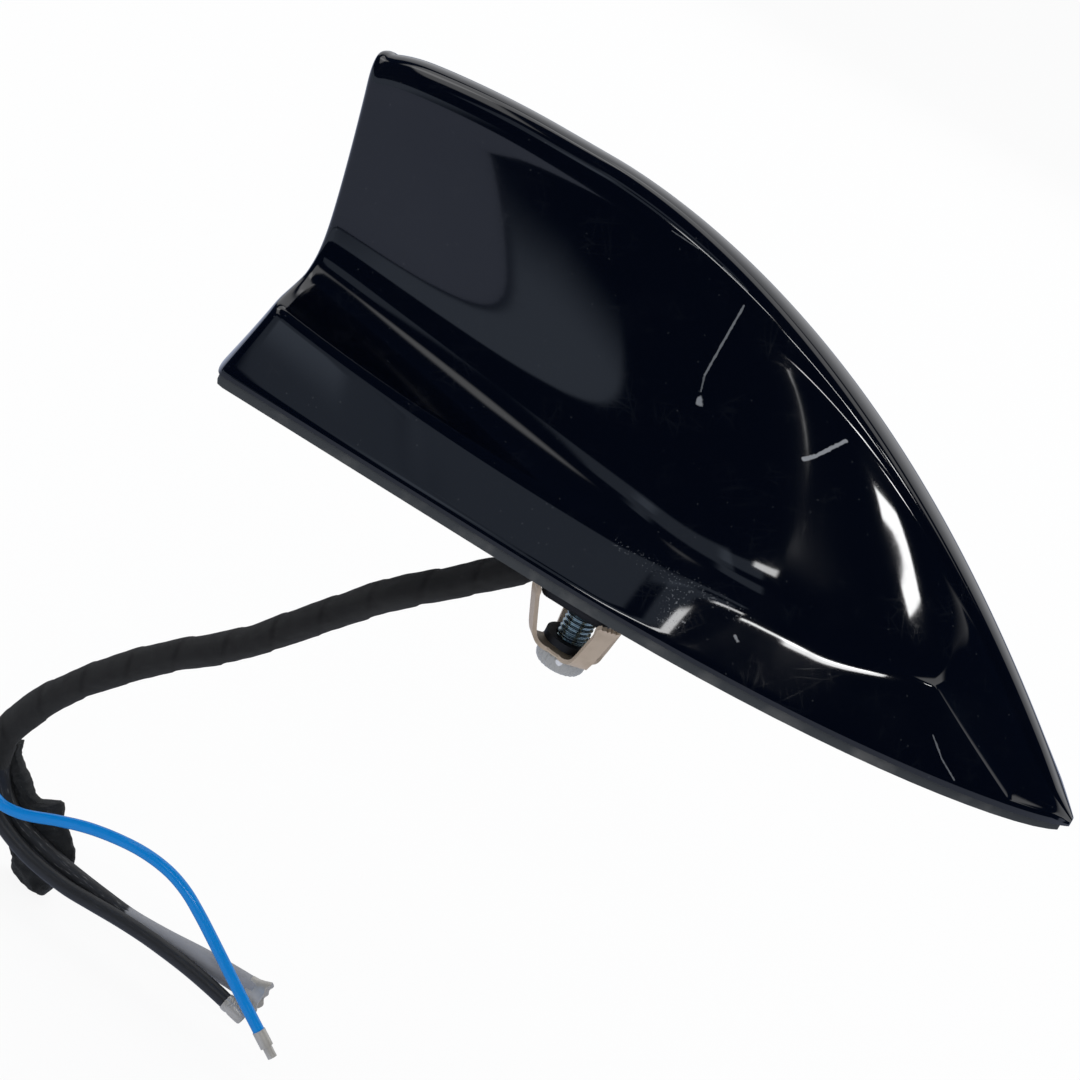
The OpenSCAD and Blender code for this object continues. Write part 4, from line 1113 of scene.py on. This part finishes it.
def moulded_material(name, color, roughness, grain_scale=3000.0, dust_cover=0.35):
    """Moulded plastic, rubber, foam or ceramic."""
    material, tree, shader = start_material(name)
    point = object_point(tree)
    film = use_group(tree, dust, Vector=point, Patch_scale=130.0, Cover=dust_cover)
    dusty = math_node(tree, "MULTIPLY", film.outputs["Mask"], 0.35)
    tree.links.new(mix_color(tree, dusty, color + (1,), DUST_COLOR), shader.inputs["Base Color"])
    tree.links.new(math_node(tree, "MULTIPLY_ADD", dusty, 0.4, roughness), shader.inputs["Roughness"])
    skin = use_group(tree, grain, Vector=point, Scale=grain_scale, Coarse=0.5)
    bump(tree, shader, skin.outputs[0], 0.00003)
    return material


def metal_material(name, color, tarnish, roughness, grain_scale=2500.0, metallic=1.0):
    """Plated, cast or bare metal; a film of dirt or phosphate makes it less metallic."""
    material, tree, shader = start_material(name, Metallic=metallic)
    point = object_point(tree)
    film = use_group(tree, dust, Vector=point, Patch_scale=260.0, Cover=0.5)
    lines = use_group(tree, hairlines, Vector=point, Turn=0.4, Scale=900.0, Width=0.05, Sparseness=0.5)
    stained = math_node(tree, "MULTIPLY", film.outputs["Mask"], 0.7)
    tree.links.new(mix_color(tree, stained, color + (1,), tarnish + (1,)), shader.inputs["Base Color"])
    worn = math_node(tree, "MULTIPLY_ADD", film.outputs["Mask"], 0.2, roughness)
    lined = math_node(tree, "MULTIPLY_ADD", lines.outputs[0], 0.1, worn)
    tree.links.new(lined, shader.inputs["Roughness"])
    skin = use_group(tree, grain, Vector=point, Scale=grain_scale, Coarse=0.5)
    bump(tree, shader, math_node(tree, "SUBTRACT", skin.outputs[0], lines.outputs[0]), 0.00001)
    return material


finishes = {
    "gasket_rubber": moulded_material("gasket_rubber", (0.035, 0.04, 0.045), 0.75, dust_cover=0.5),
    "cast_alloy": metal_material("cast_alloy", (0.55, 0.56, 0.57), (0.4, 0.4, 0.4), 0.5, 1200.0),
    "bright_zinc": metal_material("bright_zinc", (0.50, 0.62, 0.62), (0.13, 0.20, 0.20), 0.2),
    "spring_steel": metal_material(
        "spring_steel", (0.58, 0.47, 0.36), (0.44, 0.35, 0.26), 0.42, metallic=0.3,
    ),
    "black_nylon": moulded_material("black_nylon", (0.0035, 0.0035, 0.004), 0.6),
    "board_laminate": moulded_material("board_laminate", (0.01, 0.10, 0.04), 0.35, 5000.0, 0.2),
    "tinned_steel": metal_material("tinned_steel", (0.72, 0.72, 0.70), (0.5, 0.5, 0.48), 0.3),
    "patch_ceramic": moulded_material("patch_ceramic", (0.50, 0.40, 0.28), 0.7, 5000.0, 0.2),
    "silver_film": metal_material("silver_film", (0.80, 0.79, 0.76), (0.6, 0.58, 0.5), 0.4),
    "copper": metal_material("copper", (0.72, 0.36, 0.20), (0.4, 0.2, 0.12), 0.35),
    "foam": moulded_material("foam", (0.04, 0.04, 0.042), 0.95, 900.0, 0.2),
    "chip_black": moulded_material("chip_black", (0.015, 0.015, 0.016), 0.45, 5000.0, 0.2),
    "crimp_metal": metal_material(
        "crimp_metal", (0.56, 0.54, 0.50), (0.36, 0.34, 0.30), 0.35, metallic=0.5,
    ),
    "inner_jacket": moulded_material("inner_jacket", (0.02, 0.02, 0.022), 0.45, 2500.0, 0.2),
}
finishes["black_jacket"] = finishes["inner_jacket"]
print(len(finishes), "finishes")

# %% [markdown]
# The bolt is one piece with two looks: bright zinc on the thread, and a duller grey on the head
# with a small white spot that is a painted highlight. Two materials would need a seam in the mesh, so
# the one material changes with the height instead, and the painted highlight is all that lies near one
# point.

# %% Head of the bolt
HEAD_TOP = -20.6 * MM
# The small white spot on the head near this point is a painted highlight.
PAINTED_GLINT_AT, PAINTED_GLINT_RADIUS = (1.0 * MM, -4.75 * MM, -21.5 * MM), 0.7 * MM
tree = finishes["bright_zinc"].node_tree
shader = tree.nodes["Principled BSDF"]
point = add_node(tree, "ShaderNodeSeparateXYZ", Vector=object_point(tree))
on_head = step_up(tree, point.outputs["Z"], HEAD_TOP - 0.1 * MM, HEAD_TOP + 0.1 * MM, 1.0, 0.0)
zinc = shader.inputs["Base Color"].links[0].from_socket
from_painted_glint = vector_math(tree, "DISTANCE", object_point(tree), PAINTED_GLINT_AT)
painted_glint = step_up(tree, from_painted_glint, PAINTED_GLINT_RADIUS - 0.1 * MM, PAINTED_GLINT_RADIUS + 0.1 * MM, 1.0, 0.0)
marked = mix_color(tree, on_head, zinc, (0.46, 0.455, 0.43, 1))
# The head colour turns white near that point: a painted highlight.
tree.links.new(mix_color(tree, painted_glint, marked, (0.95, 0.95, 0.95, 1)), shader.inputs["Base Color"])
tree.links.new(math_node(tree, "MULTIPLY_ADD", on_head, -0.6, 1.0), shader.inputs["Metallic"])
print("zinc finish with", len(tree.nodes), "nodes")

# %% [markdown]
# The record names a finish for each solid, so the solids can be dressed in one loop instead of one
# by one. A solid that a new piece replaces is hidden, and is passed over. The new pieces of the
# clamp and the contacts are dressed by name.

# %% Dress the solids and the clamp
slot_of = {item["node"]: item["material_slot"] for item in frame["record"]["subparts"]}
dressed = 0
for name, solid in nodes.items():
    if solid.hide_render:
        continue
    solid.data.materials.clear()
    solid.data.materials.append(finishes[slot_of[name]])
    dressed += 1
new_pieces = [(bolt, "bright_zinc"), (claw, "spring_steel"), (neck, "black_nylon")]
new_pieces += [(ferrule, "crimp_metal") for ferrule in ferrules.values()]
for piece, finish in new_pieces:
    piece.data.materials.append(finishes[finish])
print(dressed, "solids and", len(new_pieces), "new pieces dressed")

# %% [markdown]
# The photograph was cut out on white, so the floor and the world look white to the camera. To the
# paint they are what a workshop would be: a pale bench below and a dim room above. The floor keeps
# a little of the shadow that falls on it.

# %% Floor and world
FLOOR_Z = cad_box[0][2] - 1.0 * MM
FLOOR_SIZE = 6.0

floor_mesh = bmesh.new()
bmesh.ops.create_grid(floor_mesh, x_segments=4, y_segments=4, size=FLOOR_SIZE)
bmesh.ops.translate(floor_mesh, verts=floor_mesh.verts, vec=(0, 0, FLOOR_Z))
floor = link_piece("floor", floor_mesh)

BENCH_LEVEL = 0.36
BENCH_COLOR = (0.90, 1.03, 1.42, 1)
floor_paper = bpy.data.materials.new("floor_paper")
floor_paper.use_nodes = True
tree = floor_paper.node_tree
tree.nodes.clear()
paper = add_node(tree, "ShaderNodeBsdfDiffuse", Color=(0.8, 0.8, 0.8, 1))
seen = tree.nodes.new("ShaderNodeLightPath")
seen_direct = seen.outputs["Is Camera Ray"]
seen_mirrored = seen.outputs["Is Glossy Ray"]
glow_level = math_node(tree, "MULTIPLY_ADD", seen_mirrored, BENCH_LEVEL, seen_direct)
glow_color = mix_color(tree, seen_direct, BENCH_COLOR, (1, 1, 1, 1))
glow = add_node(tree, "ShaderNodeEmission", Color=glow_color, Strength=glow_level)
glow_share = math_node(tree, "MULTIPLY", math_node(tree, "MAXIMUM", seen_direct, seen_mirrored), 0.9)
both = tree.nodes.new("ShaderNodeMixShader")
tree.links.new(glow_share, both.inputs[0])
tree.links.new(paper.outputs[0], both.inputs[1])
tree.links.new(glow.outputs[0], both.inputs[2])
surface = tree.nodes.new("ShaderNodeOutputMaterial")
tree.links.new(both.outputs[0], surface.inputs["Surface"])
floor.data.materials.append(floor_paper)

ROOM_LEVEL = (0.80, 0.81, 0.83, 1)
ROOM_MIRRORED = (0.008, 0.017, 0.044, 1)
world = bpy.data.worlds.new("studio")
bpy.context.scene.world = world
world.use_nodes = True
tree = world.node_tree
sky = tree.nodes["Background"]
seen = tree.nodes.new("ShaderNodeLightPath")
room = mix_color(tree, seen.outputs["Is Glossy Ray"], ROOM_LEVEL, ROOM_MIRRORED)
tree.links.new(mix_color(tree, seen.outputs["Is Camera Ray"], room, (1, 1, 1, 1)), sky.inputs["Color"])
print("floor at", round(FLOOR_Z, 4))

# %% [markdown]
# Gloss black shows little but what it reflects, so each lamp is placed by the direction in which
# the paint sees it: soft grey panels for the flank and the skirt, broad ones behind and overhead
# for the ridge, and small strong lamps for the white lines along the belt and near the nose. A
# panel with a hard edge would look like a window, so every lamp fades towards its own edges.

# %% Lamps


def direction(azimuth, elevation):
    """A unit vector; azimuth 0 is the camera side and 90 is the nose."""
    around, up = math.radians(azimuth), math.radians(elevation)
    return Vector((math.sin(around) * math.cos(up), -math.cos(around) * math.cos(up), math.sin(up)))


def soft_panel(name, azimuth, elevation, distance, angles, level, color, fade):
    """A lamp seen in a direction, so many degrees wide and high; level 1 would look white."""
    size = [2 * distance * math.tan(math.radians(angle) / 2) for angle in angles]
    data = bpy.data.lights.new(name, "AREA")
    data.shape = "RECTANGLE"
    data.size, data.size_y = size
    data.energy = level * math.pi * size[0] * size[1]
    data.color = color
    data.use_nodes = True
    tree = data.node_tree
    face = tree.nodes.new("ShaderNodeNewGeometry").outputs["Parametric"]
    split = add_node(tree, "ShaderNodeSeparateXYZ", Vector=face)
    from_edges = [math_node(tree, "PINGPONG", split.outputs[axis], 0.5) for axis in (0, 1)]
    edges = [step_up(tree, from_edge, 0.0, fade / 2) for from_edge in from_edges]
    tree.links.new(math_node(tree, "MULTIPLY", *edges), tree.nodes["Emission"].inputs["Strength"])
    lamp = bpy.data.objects.new(name, data)
    towards = direction(azimuth, elevation)
    lamp.location = towards * distance
    lamp.rotation_euler = (-towards).to_track_quat("-Z", "Y").to_euler()
    bpy.context.scene.collection.objects.link(lamp)
    return lamp


COOL = (0.82, 0.95, 1.15)
PLAIN = (1.0, 1.0, 1.0)
# name: azimuth, elevation, distance, (degrees wide, degrees high), level, colour, share that fades
PANELS = {
    "lamp_key": (48.5, 49.2, 1.5, (7.5, 3.4), 18.0, PLAIN, 0.2),
    "lamp_belt": (16, 36.7, 1.4, (14, 2.4), 14.0, PLAIN, 0.3),
    "lamp_wedge": (22.8, 35, 1.4, (6, 5), 14.0, PLAIN, 0.3),
    "lamp_crease": (0, 43, 1.4, (14, 3), 8.0, PLAIN, 0.3),
    "panel_ridge": (-122, 60, 1.4, (36, 16), 1.0, PLAIN, 0.3),
    "panel_flank": (-52, 6.5, 1.6, (66, 14), 0.40, COOL, 0.2),
    "panel_skirt": (-11, 58, 1.3, (22, 8), 0.28, COOL, 0.3),
    "panel_tail": (-27, 47, 1.3, (12, 16), 0.26, COOL, 0.3),
    "panel_middle": (-12, 46, 1.3, (20, 9), 0.28, COOL, 0.3),
    "panel_left": (-80, 63, 1.4, (32, 14), 0.95, PLAIN, 0.3),
    "panel_back": (180, 28, 1.6, (110, 56), 0.55, PLAIN, 0.25),
    "panel_over": (150, 66, 1.3, (70, 22), 0.9, PLAIN, 0.3),
}
for name, facts in PANELS.items():
    soft_panel(name, *facts)
print(len(PANELS), "lamps placed")

# %% [markdown]
# The view transform is the plain one, because the whites and blacks were matched without a film
# curve.

# %% View transform
bpy.context.scene.view_settings.view_transform = "Standard"
